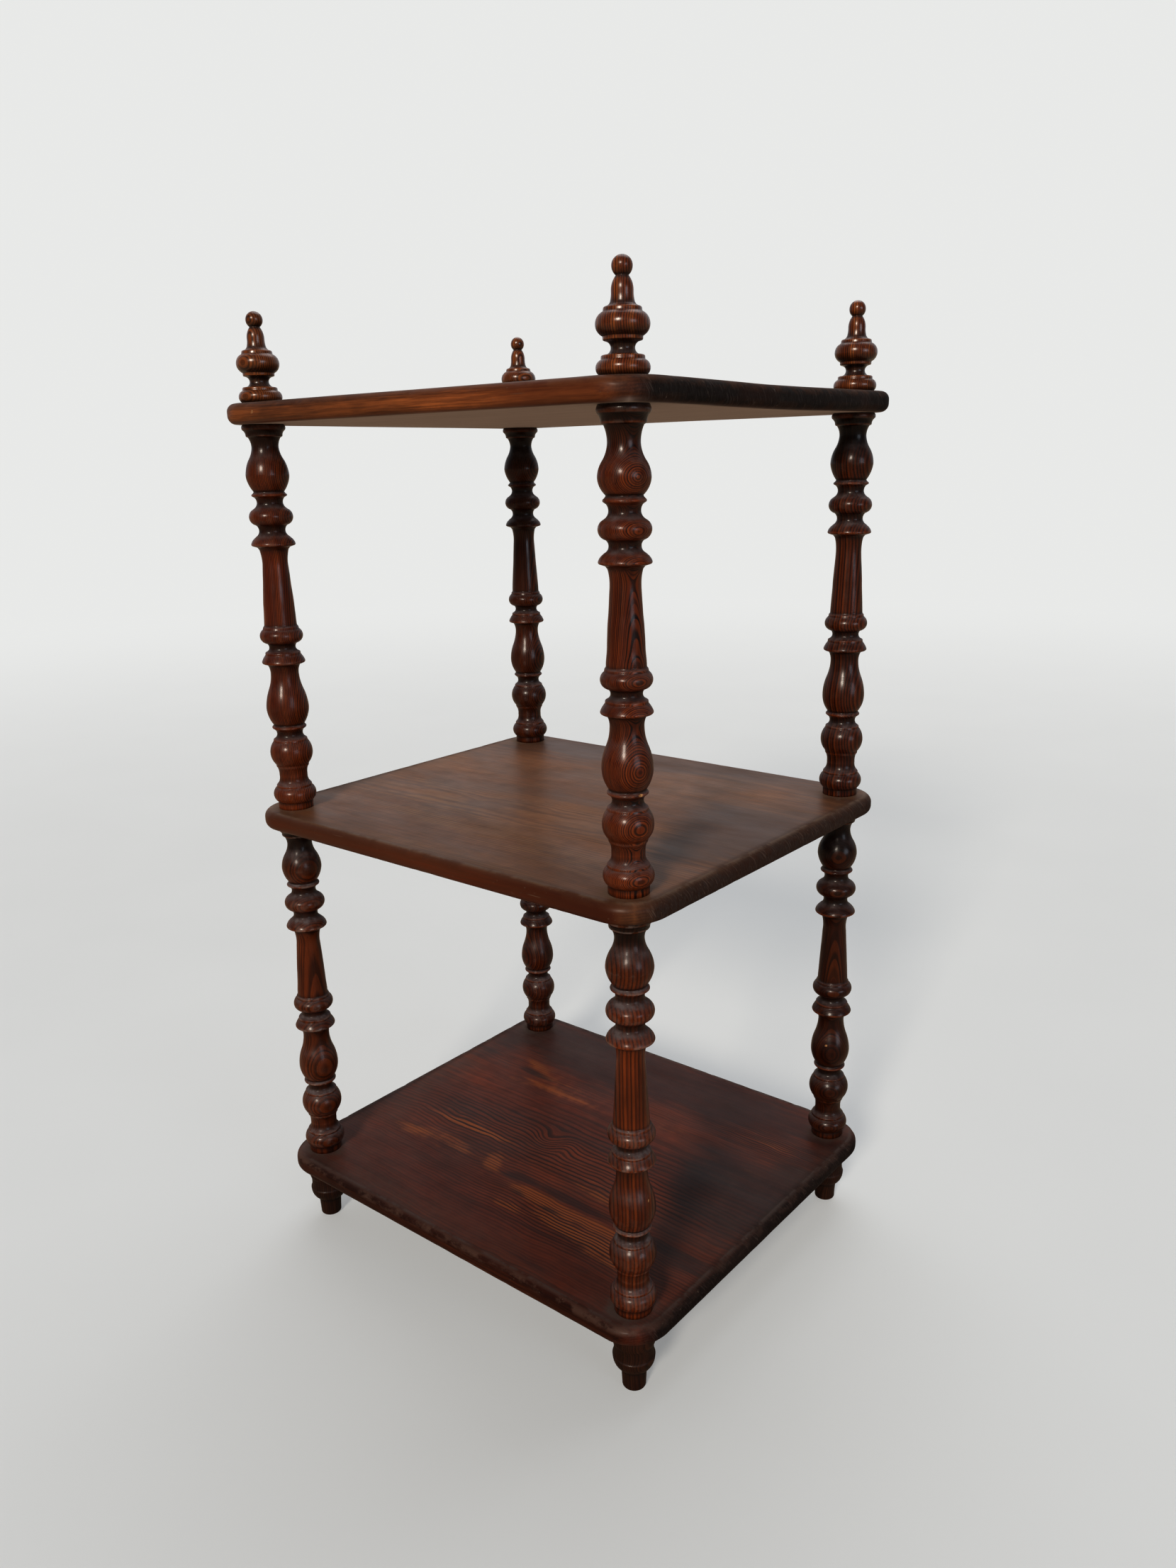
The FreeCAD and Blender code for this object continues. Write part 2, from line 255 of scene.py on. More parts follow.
def turning(name, cuts, at, base, tenon, bore, body, material, seed,
            bark, pith=55.0, widths=(2.4, 1.6), lean=(0.0, 0.0), nicks=(), tone_and_shade=0.5, dusty=1.0, segs=88,
            under_board_shade=0.0, eye=None, eyes=(), line=0.8, bowed=0.9, shaded=0.0, pale=0.0):
    """A turned piece as one closed mesh, with its softened arrises and its small
    departures from true.  tenon is (radius, length), bore is (radius, depth), and bark
    is the bearing in degrees, in plan, of the side that was nearest the bark."""
    fine = evened(traced(cuts), 0.12)
    z, r = fine[:, 0].copy(), fine[:, 1].copy()
    closed_top = r[-1] < 1e-6
    zs, rs = blurred(z, 2.6), blurred(r, 2.6)
    if closed_top:
        n = 30
        zs[-n:], rs[-n:] = z[-n:], r[-n:]
    # hand turning: beads differ by a tenth of a millimetre or two
    k = np.stack([zs / 9.0, np.full_like(zs, 0.3), np.full_like(zs, 0.7)], 1)
    rs = rs + 0.16 * wobble(k, seed) * np.clip(rs / 6.0, 0, 1) * (
        np.clip((zs - zs[0]) / 3, 0, 1) * np.clip((zs[-1] - zs) / 3, 0, 1))
    near = np.array([blurred(rs, s) for s in (8, 22, 60)])
    hollow = np.clip((near[1] - rs) / 0.9, 0, 1) * 0.75 + np.clip((near[2] - rs) / 2.4, 0, 1) * 0.45
    ridge = np.clip((rs - near[0]) / 0.16, 0, 1)
    dz, dr = np.gradient(zs), np.gradient(rs)
    length = np.maximum(np.hypot(dz, dr), 1e-9)
    up = np.clip(-dr / length, -1, 1)                  # normal's upward part
    low = np.clip((near[2] - rs) / 2.4 + 0.75, 0.3, 1)
    ledge = np.clip((up - 0.18) / 0.5, 0, 1) * low
    # the undersides of the profile, which are later darkened as painted shade
    below = np.clip((-up - 0.12) / 0.6, 0, 1)
    idx = thinned(np.stack([zs, rs], 1), 0.012, 3.2)
    zs, rs, hollow, ridge, ledge, below = (v[idx] for v in (zs, rs, hollow, ridge, ledge, below))

    # the whole closed line, from the bottom of the tenon to the bottom of the bore
    drawn, tags = [], []

    def add(zz, rr, hol=0.6, rid=0.0, led=0.0, hid=1.0, und=0.0):
        drawn.append((zz, rr))
        tags.append((hol, rid, led, hid, und))

    if tenon:
        tr, tl = tenon
        for zz, rr in ((-tl, tr - 1.6), (-tl, tr - 1.2), (-tl + 0.4, tr - 0.55), (-tl + 1.2, tr)):
            add(zz, rr)
        n = max(2, int(tl / 4))
        for i in range(1, n):
            add(-tl + 1.2 + (tl - 1.2) * i / n, tr)
        add(0.0, tr)
        add(0.0, tr + 0.6)
    else:
        add(0.0, rs[0] - 4.0)
        add(0.0, rs[0] - 1.0)
    for i in range(len(zs)):
        if closed_top and i == len(zs) - 1:
            break
        add(zs[i], rs[i], hollow[i], ridge[i], ledge[i], 0.0, below[i])
    if bore:
        br, bd = bore
        add(zs[-1], rs[-1] - 0.8)
        add(zs[-1], br + 0.6)
        add(zs[-1] - 0.3, br)
        n = max(2, int(bd / 4))
        for i in range(1, n + 1):
            add(zs[-1] - 0.3 - (bd - 0.3) * i / n, br)
        add(zs[-1] - bd - 0.2 * br * 0.25, br * 0.8)
    drawn, tags = np.array(drawn), np.array(tags)
    m = len(drawn)
    th = np.arange(segs) / segs * 2 * math.pi
    zz = np.repeat(drawn[:, 0], segs)
    rr = np.repeat(drawn[:, 1], segs)
    tt = np.tile(th, m)
    shown = 1 - np.repeat(tags[:, 3], segs)
    # wood dries more across the rings than along them, so a turning goes oval
    oval = 0.0042 * np.cos(2 * (tt - math.radians(bark))) * np.clip(rr / 10, 0, 1) * shown
    lumps = 0.06 * wobble(np.stack([np.cos(tt) * 1.7, np.sin(tt) * 1.7, zz / 8.0], 1), seed + 5) * shown
    rr = rr * (1 + oval - 0.0042 * shown) + lumps
    chip = np.zeros(len(rr))
    for (cz, ca, depth, high, wide) in nicks:
        da = (tt - math.radians(ca) + math.pi) % (2 * math.pi) - math.pi
        jag = 0.22 * wobble(np.stack([np.cos(tt) * 14, np.sin(tt) * 14, zz / 1.1], 1), seed + 9)
        e = ((zz - cz) / high) ** 2 + (da * rr / wide) ** 2 + jag
        f = np.clip(1.25 - e, 0, 1) * shown
        rr = rr - depth * f
        chip = np.maximum(chip, np.clip(f * 2.2, 0, 1))
    verts = np.stack([rr * np.cos(tt), rr * np.sin(tt), zz], 1)
    faces = []
    for i in range(m - 1):
        a, b = i * segs, (i + 1) * segs
        for j in range(segs):
            jj = (j + 1) % segs
            faces.append((a + j, a + jj, b + jj, b + j))
    low_c = len(verts)
    verts = np.vstack([verts, [[0, 0, drawn[0, 0]]]])
    top_z = zs[-1] if closed_top else drawn[-1, 0] - 0.2 * TENON_R * 0.25
    verts = np.vstack([verts, [[0, 0, top_z]]])
    last = (m - 1) * segs
    for j in range(segs):
        jj = (j + 1) % segs
        faces.append((low_c, jj, j))
        faces.append((low_c + 1, last + j, last + jj))
    per = np.repeat(tags, segs, axis=0)
    per = np.vstack([per, [[0.6, 0, 0, 1, 0]], [[0.2, 0, 0, 0 if closed_top else 1, 0]]])
    chip = np.concatenate([chip, [0, 0]])
    local = verts * MM
    world = local + np.array([at[0] * MM, at[1] * MM, base * MM])
    ob = make(name, world, faces, body, name, material)
    ob.name = name + "_turning"
    me = ob.data
    # where it lay in the tree: u away from the pith, w across, z along
    c, s = math.cos(math.radians(bark)), math.sin(math.radians(bark))
    u = verts[:, 0] * c + verts[:, 1] * s
    w = -verts[:, 0] * s + verts[:, 1] * c
    zz = verts[:, 2]
    bow = wobble(np.stack([zz / 130.0, zz * 0 + 0.4, zz * 0 + 0.2], 1), seed + 40)
    uu = u + lean[0] * zz + bowed * bow
    ww = w + lean[1] * zz + 1.6 * wobble(np.stack([zz / 90.0, zz * 0, zz * 0 + 0.6], 1), seed + 41)
    rho = np.hypot(pith + uu, ww) - pith
    rho = rho + 0.16 * wobble(np.stack([u / 9.0, w / 9.0, zz / 45.0], 1), seed + 42)
    count = ring_count(rho, *widths) + seed * 3.0
    if eye is not None:                                 # the middle of a bullseye is early wood
        count = count - ring_count(eye, *widths) + 0.2
    # some years are broad and some are narrow
    count = count + 0.33 * wobble(np.stack([count * 0.8, count * 0 + 0.3, count * 0 + 0.6], 1), seed + 43)
    for (ez, much, size) in eyes:                       # a dimple in the rings at the bark side
        away = np.hypot(w, zz - ez)
        count = count + much * np.exp(-0.5 * (away / size) ** 2) * (u > 0)
    if eyes:
        mid = int(np.argmin(np.hypot(w, zz - eyes[0][0]) + 100.0 * (u < 0)))
        count = count - count[mid] + 200.25
    put(me, "rings", count)
    put(me, "log", np.stack([u * MM, w * MM, zz * MM + seed * 0.61], 1), "FLOAT_VECTOR")
    put(me, "hollow", per[:, 0])
    put(me, "ridge", per[:, 1])
    put(me, "ledge", per[:, 2] * dusty)
    put(me, "inside", per[:, 3])
    put(me, "chip", chip)
    # painted shade: just under a board the top of each post is darkened nearly to black, and undersides are darkened by
    # the shaded amount
    put(me, "tone_and_shade", tone_and_shade - under_board_shade * np.exp(-(np.clip(zs[-1] - 6 - zz, 0, None) / 27.0) ** 2) - shaded * per[:, 4])
    put(me, "line", np.full(len(verts), line))
    put(me, "pale", per[:, 1] * pale)
    return ob


# --------------------------------------------------------------------- boards
def outline(inset, n_side_x, n_side_y, n_corner):
    """The board's rim in plan, anticlockwise, the same count at every inset."""
    hx, hy, r = SHELF_L / 2 - inset, SHELF_D / 2 - inset, max(CORNER_R - inset, 0.5)
    pts = []
    for (cx, cy, a0, n) in ((hx - r, hy - r, 0, n_side_x), (-hx + r, hy - r, 90, n_side_y),
                            (-hx + r, -hy + r, 180, n_side_x), (hx - r, -hy + r, 270, n_side_y)):
        for i in range(n_corner):
            a = math.radians(a0 + 90.0 * i / n_corner)
            pts.append((cx + r * math.cos(a), cy + r * math.sin(a)))
        a = math.radians(a0 + 90)
        p = (cx + r * math.cos(a), cy + r * math.sin(a))
        nxt = {0: (-hx + r, hy), 90: (-hx, -hy + r), 180: (hx - r, -hy), 270: (hx, hy - r)}[a0]
        for i in range(n):
            t = i / n
            pts.append((p[0] + (nxt[0] - p[0]) * t, p[1] + (nxt[1] - p[1]) * t))
    return np.array(pts)


def shelf(name, base, hole_r, material, seed, grain, paint, dents=(), step=4.5, sag=0.0):
    t = SHELF_T
    # section of the edge, from the underside in to the top side in: (inset, height)
    section = []
    for i in range(9):
        a = math.radians(90 * i / 8)
        section.append((EDGE_R * (1 - math.sin(a)), EDGE_R * (1 - math.cos(a))))
    section += [(0.0, EDGE_R + 1.2), (0.0, t - EDGE_R - 1.2)]
    for i in range(9):
        a = math.radians(90 - 90 * i / 8)
        section.append((EDGE_R * (1 - math.sin(a)), t - EDGE_R * (1 - math.cos(a))))
    section = [(EDGE_R + 6, 0.0), (EDGE_R + 1.6, 0.0)] + section + [(EDGE_R + 1.6, t), (EDGE_R + 6, t)]
    # how much of the rounding's crown, and of its upper lip, is at each line of the section
    crown = [0, 0] + [0.5 * math.sin(math.radians(22.5 * i)) for i in range(9)] + [0, 0]
    crown += [math.sin(math.radians(22.5 * i)) for i in range(9)] + [0, 0]
    lip = [0.0] * 19 + [0.35, 0.8, 1.0, 0.25, 0.0]
    rings = [outline(s[0], 132, 112, 20) for s in section]
    n = len(rings[0])
    verts = []
    for s, ring in zip(section, rings):
        for p in ring:
            verts.append((p[0], p[1], s[1]))
    faces = []
    for i in range(len(section) - 1):
        a, b = i * n, (i + 1) * n
        for j in range(n):
            jj = (j + 1) % n
            faces.append((a + j, a + jj, b + jj, b + j))
    # the two flats, meshed round the four holes
    hs = 48
    inner = rings[0]
    grid = []
    gx = np.arange(-SHELF_L / 2 + step, SHELF_L / 2, step)
    gy = np.arange(-SHELF_D / 2 + step, SHELF_D / 2, step)
    lim_x, lim_y, cr = SHELF_L / 2 - EDGE_R - 6, SHELF_D / 2 - EDGE_R - 6, CORNER_R - EDGE_R - 6
    for x in gx:
        for y in gy:
            qx, qy = max(abs(x) - (lim_x - cr), 0), max(abs(y) - (lim_y - cr), 0)
            if abs(x) > lim_x - 4 or abs(y) > lim_y - 4 or math.hypot(qx, qy) > cr - 4:
                continue
            if min(math.hypot(x - px, y - py) for px, py in COLUMNS.values()) < hole_r + 4:
                continue
            grid.append((x, y))
    circles = []
    for (px, py) in COLUMNS.values():
        circles.append([(px + hole_r * math.cos(2 * math.pi * k / hs),
                         py + hole_r * math.sin(2 * math.pi * k / hs)) for k in range(hs)])
    pts = [tuple(p) for p in inner] + [p for c in circles for p in c] + grid
    edges = [(i, (i + 1) % n) for i in range(n)]
    for c in range(4):
        o = n + c * hs
        edges += [(o + k, o + (k + 1) % hs) for k in range(hs)]
    vo, _, fo, ov, _, _ = delaunay_2d_cdt([Vector(p) for p in pts], edges, [], 0, 1e-4)
    back = {}
    for new, olds in enumerate(ov):
        back[new] = olds[0]
    tris = []
    for f in fo:
        c = sum((Vector(vo[i]) for i in f), Vector((0, 0))) / len(f)
        if min(math.hypot(c.x - px, c.y - py) for px, py in COLUMNS.values()) < hole_r:
            continue
        if abs(c.x) > SHELF_L / 2 or abs(c.y) > SHELF_D / 2:
            continue
        qx, qy = max(abs(c.x) - (lim_x - cr), 0), max(abs(c.y) - (lim_y - cr), 0)
        if math.hypot(qx, qy) > cr + 0.01:
            continue
        a = [back[i] for i in f]
        area = sum(pts[a[i]][0] * pts[a[(i + 1) % len(a)]][1] - pts[a[(i + 1) % len(a)]][0] * pts[a[i]][1]
                   for i in range(len(a)))
        tris.append(a if area > 0 else a[::-1])
    extra_low, extra_top = {}, {}
    n_ring = len(section) * n
    count = n_ring
    for i in range(n, len(pts)):
        extra_low[i] = count
        verts.append((pts[i][0], pts[i][1], 0.0))
        count += 1
    for i in range(n, len(pts)):
        extra_top[i] = count
        verts.append((pts[i][0], pts[i][1], t))
        count += 1
    top0 = (len(section) - 1) * n
    for f in tris:
        faces.append(tuple((i if i < n else extra_low[i]) for i in reversed(f)))
        faces.append(tuple((top0 + i if i < n else extra_top[i]) for i in f))
    for c in range(4):
        o = n + c * hs
        for k in range(hs):
            a, b = o + k, o + (k + 1) % hs
            faces.append((extra_low[a], extra_top[a], extra_top[b], extra_low[b]))
    v = np.array(verts)
    # a planed board that has lived: edges a little uneven, faces a little wavy
    rim = np.clip((np.maximum(np.abs(v[:, 0]) - (SHELF_L / 2 - 16), np.abs(v[:, 1]) - (SHELF_D / 2 - 16))) / 16, 0, 1)
    side = np.abs(v[:, 2] - t / 2) / (t / 2)
    q = np.stack([v[:, 0] / 31.0, v[:, 1] / 31.0, v[:, 2] / 9.0], 1)
    q2 = np.stack([v[:, 0] / 7.0, v[:, 1] / 7.0, v[:, 2] / 5.0], 1)
    arris, edge_lip = np.zeros(len(v)), np.zeros(len(v))
    arris[:n_ring], edge_lip[:n_ring] = np.repeat(crown, n), np.repeat(lip, n)
    nib = arris * np.clip(1.5 * wobble(v / np.array([6.0, 6.0, 30.0]), seed + 61) - 0.45, 0, 1)
    nib += 0.6 * arris * np.clip(1.6 * wobble(v / np.array([17.0, 17.0, 60.0]), seed + 62) - 0.5, 0, 1)
    push = 0.12 * wobble(q, seed) + 0.05 * wobble(q2, seed + 3) - 0.17 - 0.5 * nib
    out = np.stack([np.clip(np.abs(v[:, 0]) - (SHELF_L / 2 - CORNER_R), 0, None) * np.sign(v[:, 0]),
                    np.clip(np.abs(v[:, 1]) - (SHELF_D / 2 - CORNER_R), 0, None) * np.sign(v[:, 1])], 1)
    nrm = np.maximum(np.hypot(out[:, 0], out[:, 1]), 1e-6)[:, None]
    v[:, :2] += out / nrm * (push * rim)[:, None]
    hole = np.min([np.hypot(v[:, 0] - px, v[:, 1] - py) for px, py in COLUMNS.values()], axis=0)
    free = np.clip((hole - 22) / 12, 0, 1)
    q3 = np.stack([v[:, 0] / 95.0, v[:, 1] / 42.0, np.full(len(v), 0.5)], 1)
    wave = (0.09 * wobble(q3, seed + 21) - 0.09) * free
    v[:, 2] += np.where(v[:, 2] > t / 2, wave, -wave * 0.6) * np.clip(side * 1.2 - 0.2, 0, 1)
    v[:, 2] -= np.sign(v[:, 2] - t / 2) * 0.35 * nib
    # the end of the top board has cupped a little between its posts
    v[:, 2] -= sag * np.clip(v[:, 0] / (SHELF_L / 2), 0, 1) ** 2 * np.cos(
        np.clip(v[:, 1] / SPACING_Y, -0.5, 0.5) * math.pi) ** 2
    chip = np.zeros(len(v))
    for (dx, dy, dz, size, depth) in dents:
        e = ((v[:, 0] - dx) / size[0]) ** 2 + ((v[:, 1] - dy) / size[1]) ** 2 + ((v[:, 2] - dz) / size[2]) ** 2
        jag = 0.25 * wobble(v / 1.6, seed + 31)
        f = np.clip(1.2 - e + jag, 0, 1) * (e < 1.6)
        c = np.array([0.0, 0.0, t / 2])
        inward = c - v
        inward[:, :2] = -out / nrm
        inward[:, 2] = np.sign(t / 2 - v[:, 2]) * 0.6
        v += inward * (depth * f)[:, None]
        chip = np.maximum(chip, np.clip(f * 1.8, 0, 1))
    local = v * MM
    world = local + np.array([0, 0, base * MM])
    ob = make(name, world, faces, "root", name, material)
    ob.name = name + "_board"
    me = ob.data
    x, y, z = v[:, 0], v[:, 1], v[:, 2]
    rings, log = grain(x, y, z)
    put(me, "rings", rings)
    put(me, "log", log * MM, "FLOAT_VECTOR")
    put(me, "place", local - np.array([0, 0, t / 2 * MM]), "FLOAT_VECTOR")
    put(me, "chip", chip)
    outward = out / nrm
    edge = np.clip(rim * 1.35 - 0.2, 0, 1)
    put(me, "end", np.clip((np.abs(outward[:, 0]) - 0.42) / 0.42, 0, 1) * edge)
    put(me, "rim", edge)
    put(me, "arris", np.clip(arris, 0, 1))
    put(me, "lip", edge_lip)
    put(me, "corner", np.clip(1.25 - 2.6 * np.abs(np.abs(outward[:, 0]) - np.abs(outward[:, 1])), 0, 1) * edge)
    put(me, "under", np.clip(1 - z / 4.0, 0, 1) * (1 - edge))
    around = np.min([np.hypot(x - px, y - py) for px, py in COLUMNS.values()], axis=0)
    top = np.clip((z - t + 5) / 4, 0, 1)
    put(me, "collar", np.exp(-(np.clip(around - 17.5, 0, None) / 5.5) ** 2) * top)
    for key, field in paint(x, y).items():
        put(me, key, field * top)
    return ob


def blob(x, y, cx, cy, sx, sy, turn=0.0):
    c, s = math.cos(math.radians(turn)), math.sin(math.radians(turn))
    u, v = (x - cx) * c + (y - cy) * s, -(x - cx) * s + (y - cy) * c
    return np.exp(-0.5 * ((u / sx) ** 2 + (v / sy) ** 2))


def flat_sawn(centre, depth, width, seed, swirl=(), waves=(0.45, 0.22)):
    """The rings of a board cut beside the pith: centre is the pith's y along the board,
    depth its distance under the board's middle, width the rings' spacing."""
    def grain(x, y, z):
        one = np.zeros_like(x)
        yc = centre + 10.0 * wobble(np.stack([x / 170.0, one + 0.3, one], 1), seed + 50)
        zc = depth + 7.0 * wobble(np.stack([x / 140.0, one + 0.8, one], 1), seed + 51)
        w = y - yc
        d = np.hypot(w, z - SHELF_T / 2 + zc)
        p = d / width
        p = p + 0.7 * wobble(np.stack([d / 13.0, one, one + 0.1], 1), seed + 52)
        p = p + waves[0] * wobble(np.stack([x / 46.0, y / 24.0, z / 30.0], 1), seed + 53)
        p = p + waves[1] * wobble(np.stack([x / 15.0, y / 11.0, z / 16.0], 1), seed + 54)
        for (cx, cy, size, much) in swirl:
            p = p + much * blob(x, y, cx, cy, size, size * 0.6)
        log = np.stack([w, z + zc, x + seed * 310.0], 1)
        return p + seed * 7.0, log
    return grain


def bottom_grain(seed):
    """The bottom board's rings: wide ones in the middle, tight ones toward the front, and
    a swirl round a small knot."""
    r = np.linspace(0, 400, 1601)
    width = np.interp(r, [0, 60, 135, 152, 400], [5.6, 5.0, 4.9, 3.7, 3.3])
    count = np.concatenate([[0], np.cumsum(0.25 / ((width[1:] + width[:-1]) / 2))])

    def grain(x, y, z):
        one = np.zeros_like(x)
        p = np.stack([x, y, one], 1)
        off = (3.2 * wobble(p / np.array([48.0, 36.0, 1.0]), seed + 71)
               + 1.3 * wobble(p / np.array([15.0, 9.0, 1.0]), seed + 72)
               + 14.0 * np.exp(-((x + 22) / 17) ** 2 - ((y + 18) / 19) ** 2)
               - 8.0 * np.exp(-((x - 2) / 13) ** 2 - ((y + 22) / 15) ** 2))
        w = y + off - 60
        d = np.hypot(w * np.where(w < 0, 1.0, 1.8), z - SHELF_T / 2 + 30)
        log = np.stack([w, z + 30, x + seed * 310.0], 1)
        p = np.interp(d, r, count) + 0.42 * wobble(np.stack([d / 10.0, one, one + 0.2], 1), seed + 73)
        return p + seed * 7.0, log
    return grain


# ------------------------------------------------------------------ materials
class Nodes:
    """Short names for building a node tree."""

    def __init__(self, name):
        self.mat = bpy.data.materials.new(name)
        self.mat.use_nodes = True
        self.tree = self.mat.node_tree
        self.tree.nodes.clear()
        self.out = self.tree.nodes.new("ShaderNodeOutputMaterial")
        self.bsdf = self.tree.nodes.new("ShaderNodeBsdfPrincipled")
        self.tree.links.new(self.bsdf.outputs[0], self.out.inputs[0])

    def link(self, a, b):
        self.tree.links.new(a, b)

    def put(self, socket, v):
        if isinstance(v, bpy.types.NodeSocket):
            self.link(v, socket)
        elif v is not None:
            if isinstance(v, (tuple, list)) and len(v) == 3 and socket.type == "RGBA":
                v = (*v, 1.0)
            socket.default_value = v

    def attr(self, name, vector=False):
        n = self.tree.nodes.new("ShaderNodeAttribute")
        n.attribute_name = name
        return n.outputs["Vector"] if vector else n.outputs["Fac"]

    def math(self, op, a, b=None, c=None, clamp=False):
        n = self.tree.nodes.new("ShaderNodeMath")
        n.operation = op
        n.use_clamp = clamp
        self.put(n.inputs[0], a)
        if b is not None:
            self.put(n.inputs[1], b)
        if c is not None:
            self.put(n.inputs[2], c)
        return n.outputs[0]

    def add(self, a, b):
        return self.math("ADD", a, b)

    def sub(self, a, b):
        return self.math("SUBTRACT", a, b)

    def mul(self, a, b):
        return self.math("MULTIPLY", a, b)

    def vmath(self, op, a, b=None, scale=None):
        n = self.tree.nodes.new("ShaderNodeVectorMath")
        n.operation = op
        self.put(n.inputs[0], a)
        if b is not None:
            self.put(n.inputs[1], b)
        if scale is not None:
            self.put(n.inputs["Scale"], scale)
        return n.outputs["Value"] if op in ("LENGTH", "DOT_PRODUCT", "DISTANCE") else n.outputs["Vector"]

    def parts(self, v):
        n = self.tree.nodes.new("ShaderNodeSeparateXYZ")
        self.put(n.inputs[0], v)
        return n.outputs[0], n.outputs[1], n.outputs[2]

    def vec(self, x, y, z):
        n = self.tree.nodes.new("ShaderNodeCombineXYZ")
        for s, v in zip(n.inputs, (x, y, z)):
            self.put(s, v)
        return n.outputs[0]

    def noise(self, v, scale=1.0, detail=2.0, rough=0.5, dist=0.0, kind="3D"):
        n = self.tree.nodes.new("ShaderNodeTexNoise")
        n.noise_dimensions = kind
        self.put(n.inputs["Vector"], v)
        self.put(n.inputs["Scale"], scale)
        n.inputs["Detail"].default_value = detail
        n.inputs["Roughness"].default_value = rough
        n.inputs["Distortion"].default_value = dist
        return n.outputs["Fac"]

    def white(self, w):
        n = self.tree.nodes.new("ShaderNodeTexWhiteNoise")
        n.noise_dimensions = "1D"
        self.put(n.inputs["W"], w)
        return n.outputs["Value"]

    def cells(self, v, scale, feature="F1", rand=1.0):
        n = self.tree.nodes.new("ShaderNodeTexVoronoi")
        n.feature = feature
        self.put(n.inputs["Vector"], v)
        n.inputs["Scale"].default_value = scale
        n.inputs["Randomness"].default_value = rand
        return n.outputs["Distance"]

    def step(self, v, lo, hi, a=0.0, b=1.0):
        """Smooth rise from a at lo to b at hi."""
        n = self.tree.nodes.new("ShaderNodeMapRange")
        n.interpolation_type = "SMOOTHSTEP"
        self.put(n.inputs["Value"], v)
        self.put(n.inputs["From Min"], lo)
        self.put(n.inputs["From Max"], hi)
        self.put(n.inputs["To Min"], a)
        self.put(n.inputs["To Max"], b)
        return n.outputs[0]

    def ramp(self, v, lo, hi, a=0.0, b=1.0):
        n = self.tree.nodes.new("ShaderNodeMapRange")
        self.put(n.inputs["Value"], v)
        self.put(n.inputs["From Min"], lo)
        self.put(n.inputs["From Max"], hi)
        self.put(n.inputs["To Min"], a)
        self.put(n.inputs["To Max"], b)
        return n.outputs[0]

    def mix(self, f, a, b, how="MIX"):
        n = self.tree.nodes.new("ShaderNodeMix")
        n.data_type = "RGBA"
        n.blend_type = how
        n.clamp_factor = True
        self.put(n.inputs[0], f)
        self.put(n.inputs[6], a)
        self.put(n.inputs[7], b)
        return n.outputs[2]

    def bump(self, height, strength, distance, normal=None):
        n = self.tree.nodes.new("ShaderNodeBump")
        n.inputs["Strength"].default_value = strength
        n.inputs["Distance"].default_value = distance
        self.put(n.inputs["Height"], height)
        if normal is not None:
            self.link(normal, n.inputs["Normal"])
        return n.outputs[0]


def ring_lines(g, log, waver, soft=0.30):
    """Where this point is in its growth ring, from the ring count on the mesh.

    Returns how dark the late wood is here, and the ring's own random number."""
    x, y, z = g.parts(log)
    fine = g.noise(g.vec(g.mul(x, 120.0), g.mul(y, 120.0), g.mul(z, 16.0)), 1.0, 2.0, 0.55)
    p = g.add(g.attr("rings"), g.mul(g.sub(fine, 0.5), waver))
    f = g.math("FRACT", p)
    own = g.white(g.math("FLOOR", p))
    other = g.white(g.add(g.math("FLOOR", p), 37.4))
    rise = g.step(f, g.ramp(own, 0, 1, soft, soft + 0.20), g.ramp(own, 0, 1, 0.60, 0.78))
    fall = g.step(f, 0.93, 1.0, 1.0, 0.0)
    return g.mul(rise, fall), own, other


def fibres(g, log):
    """Fine streaks along the grain, from a third of a millimetre to a few across."""
    x, y, z = g.parts(log)
    a = g.noise(g.vec(g.mul(x, 1100.0), g.mul(y, 1100.0), g.mul(z, 22.0)), 1.0, 3.0, 0.62)
    b = g.noise(g.vec(g.mul(x, 300.0), g.mul(y, 300.0), g.mul(z, 7.0)), 1.0, 2.0, 0.55)
    c = g.noise(g.vec(g.mul(x, 1500.0), g.mul(y, 1500.0), g.mul(z, 70.0)), 1.0, 1.0, 0.5)
    return a, b, c


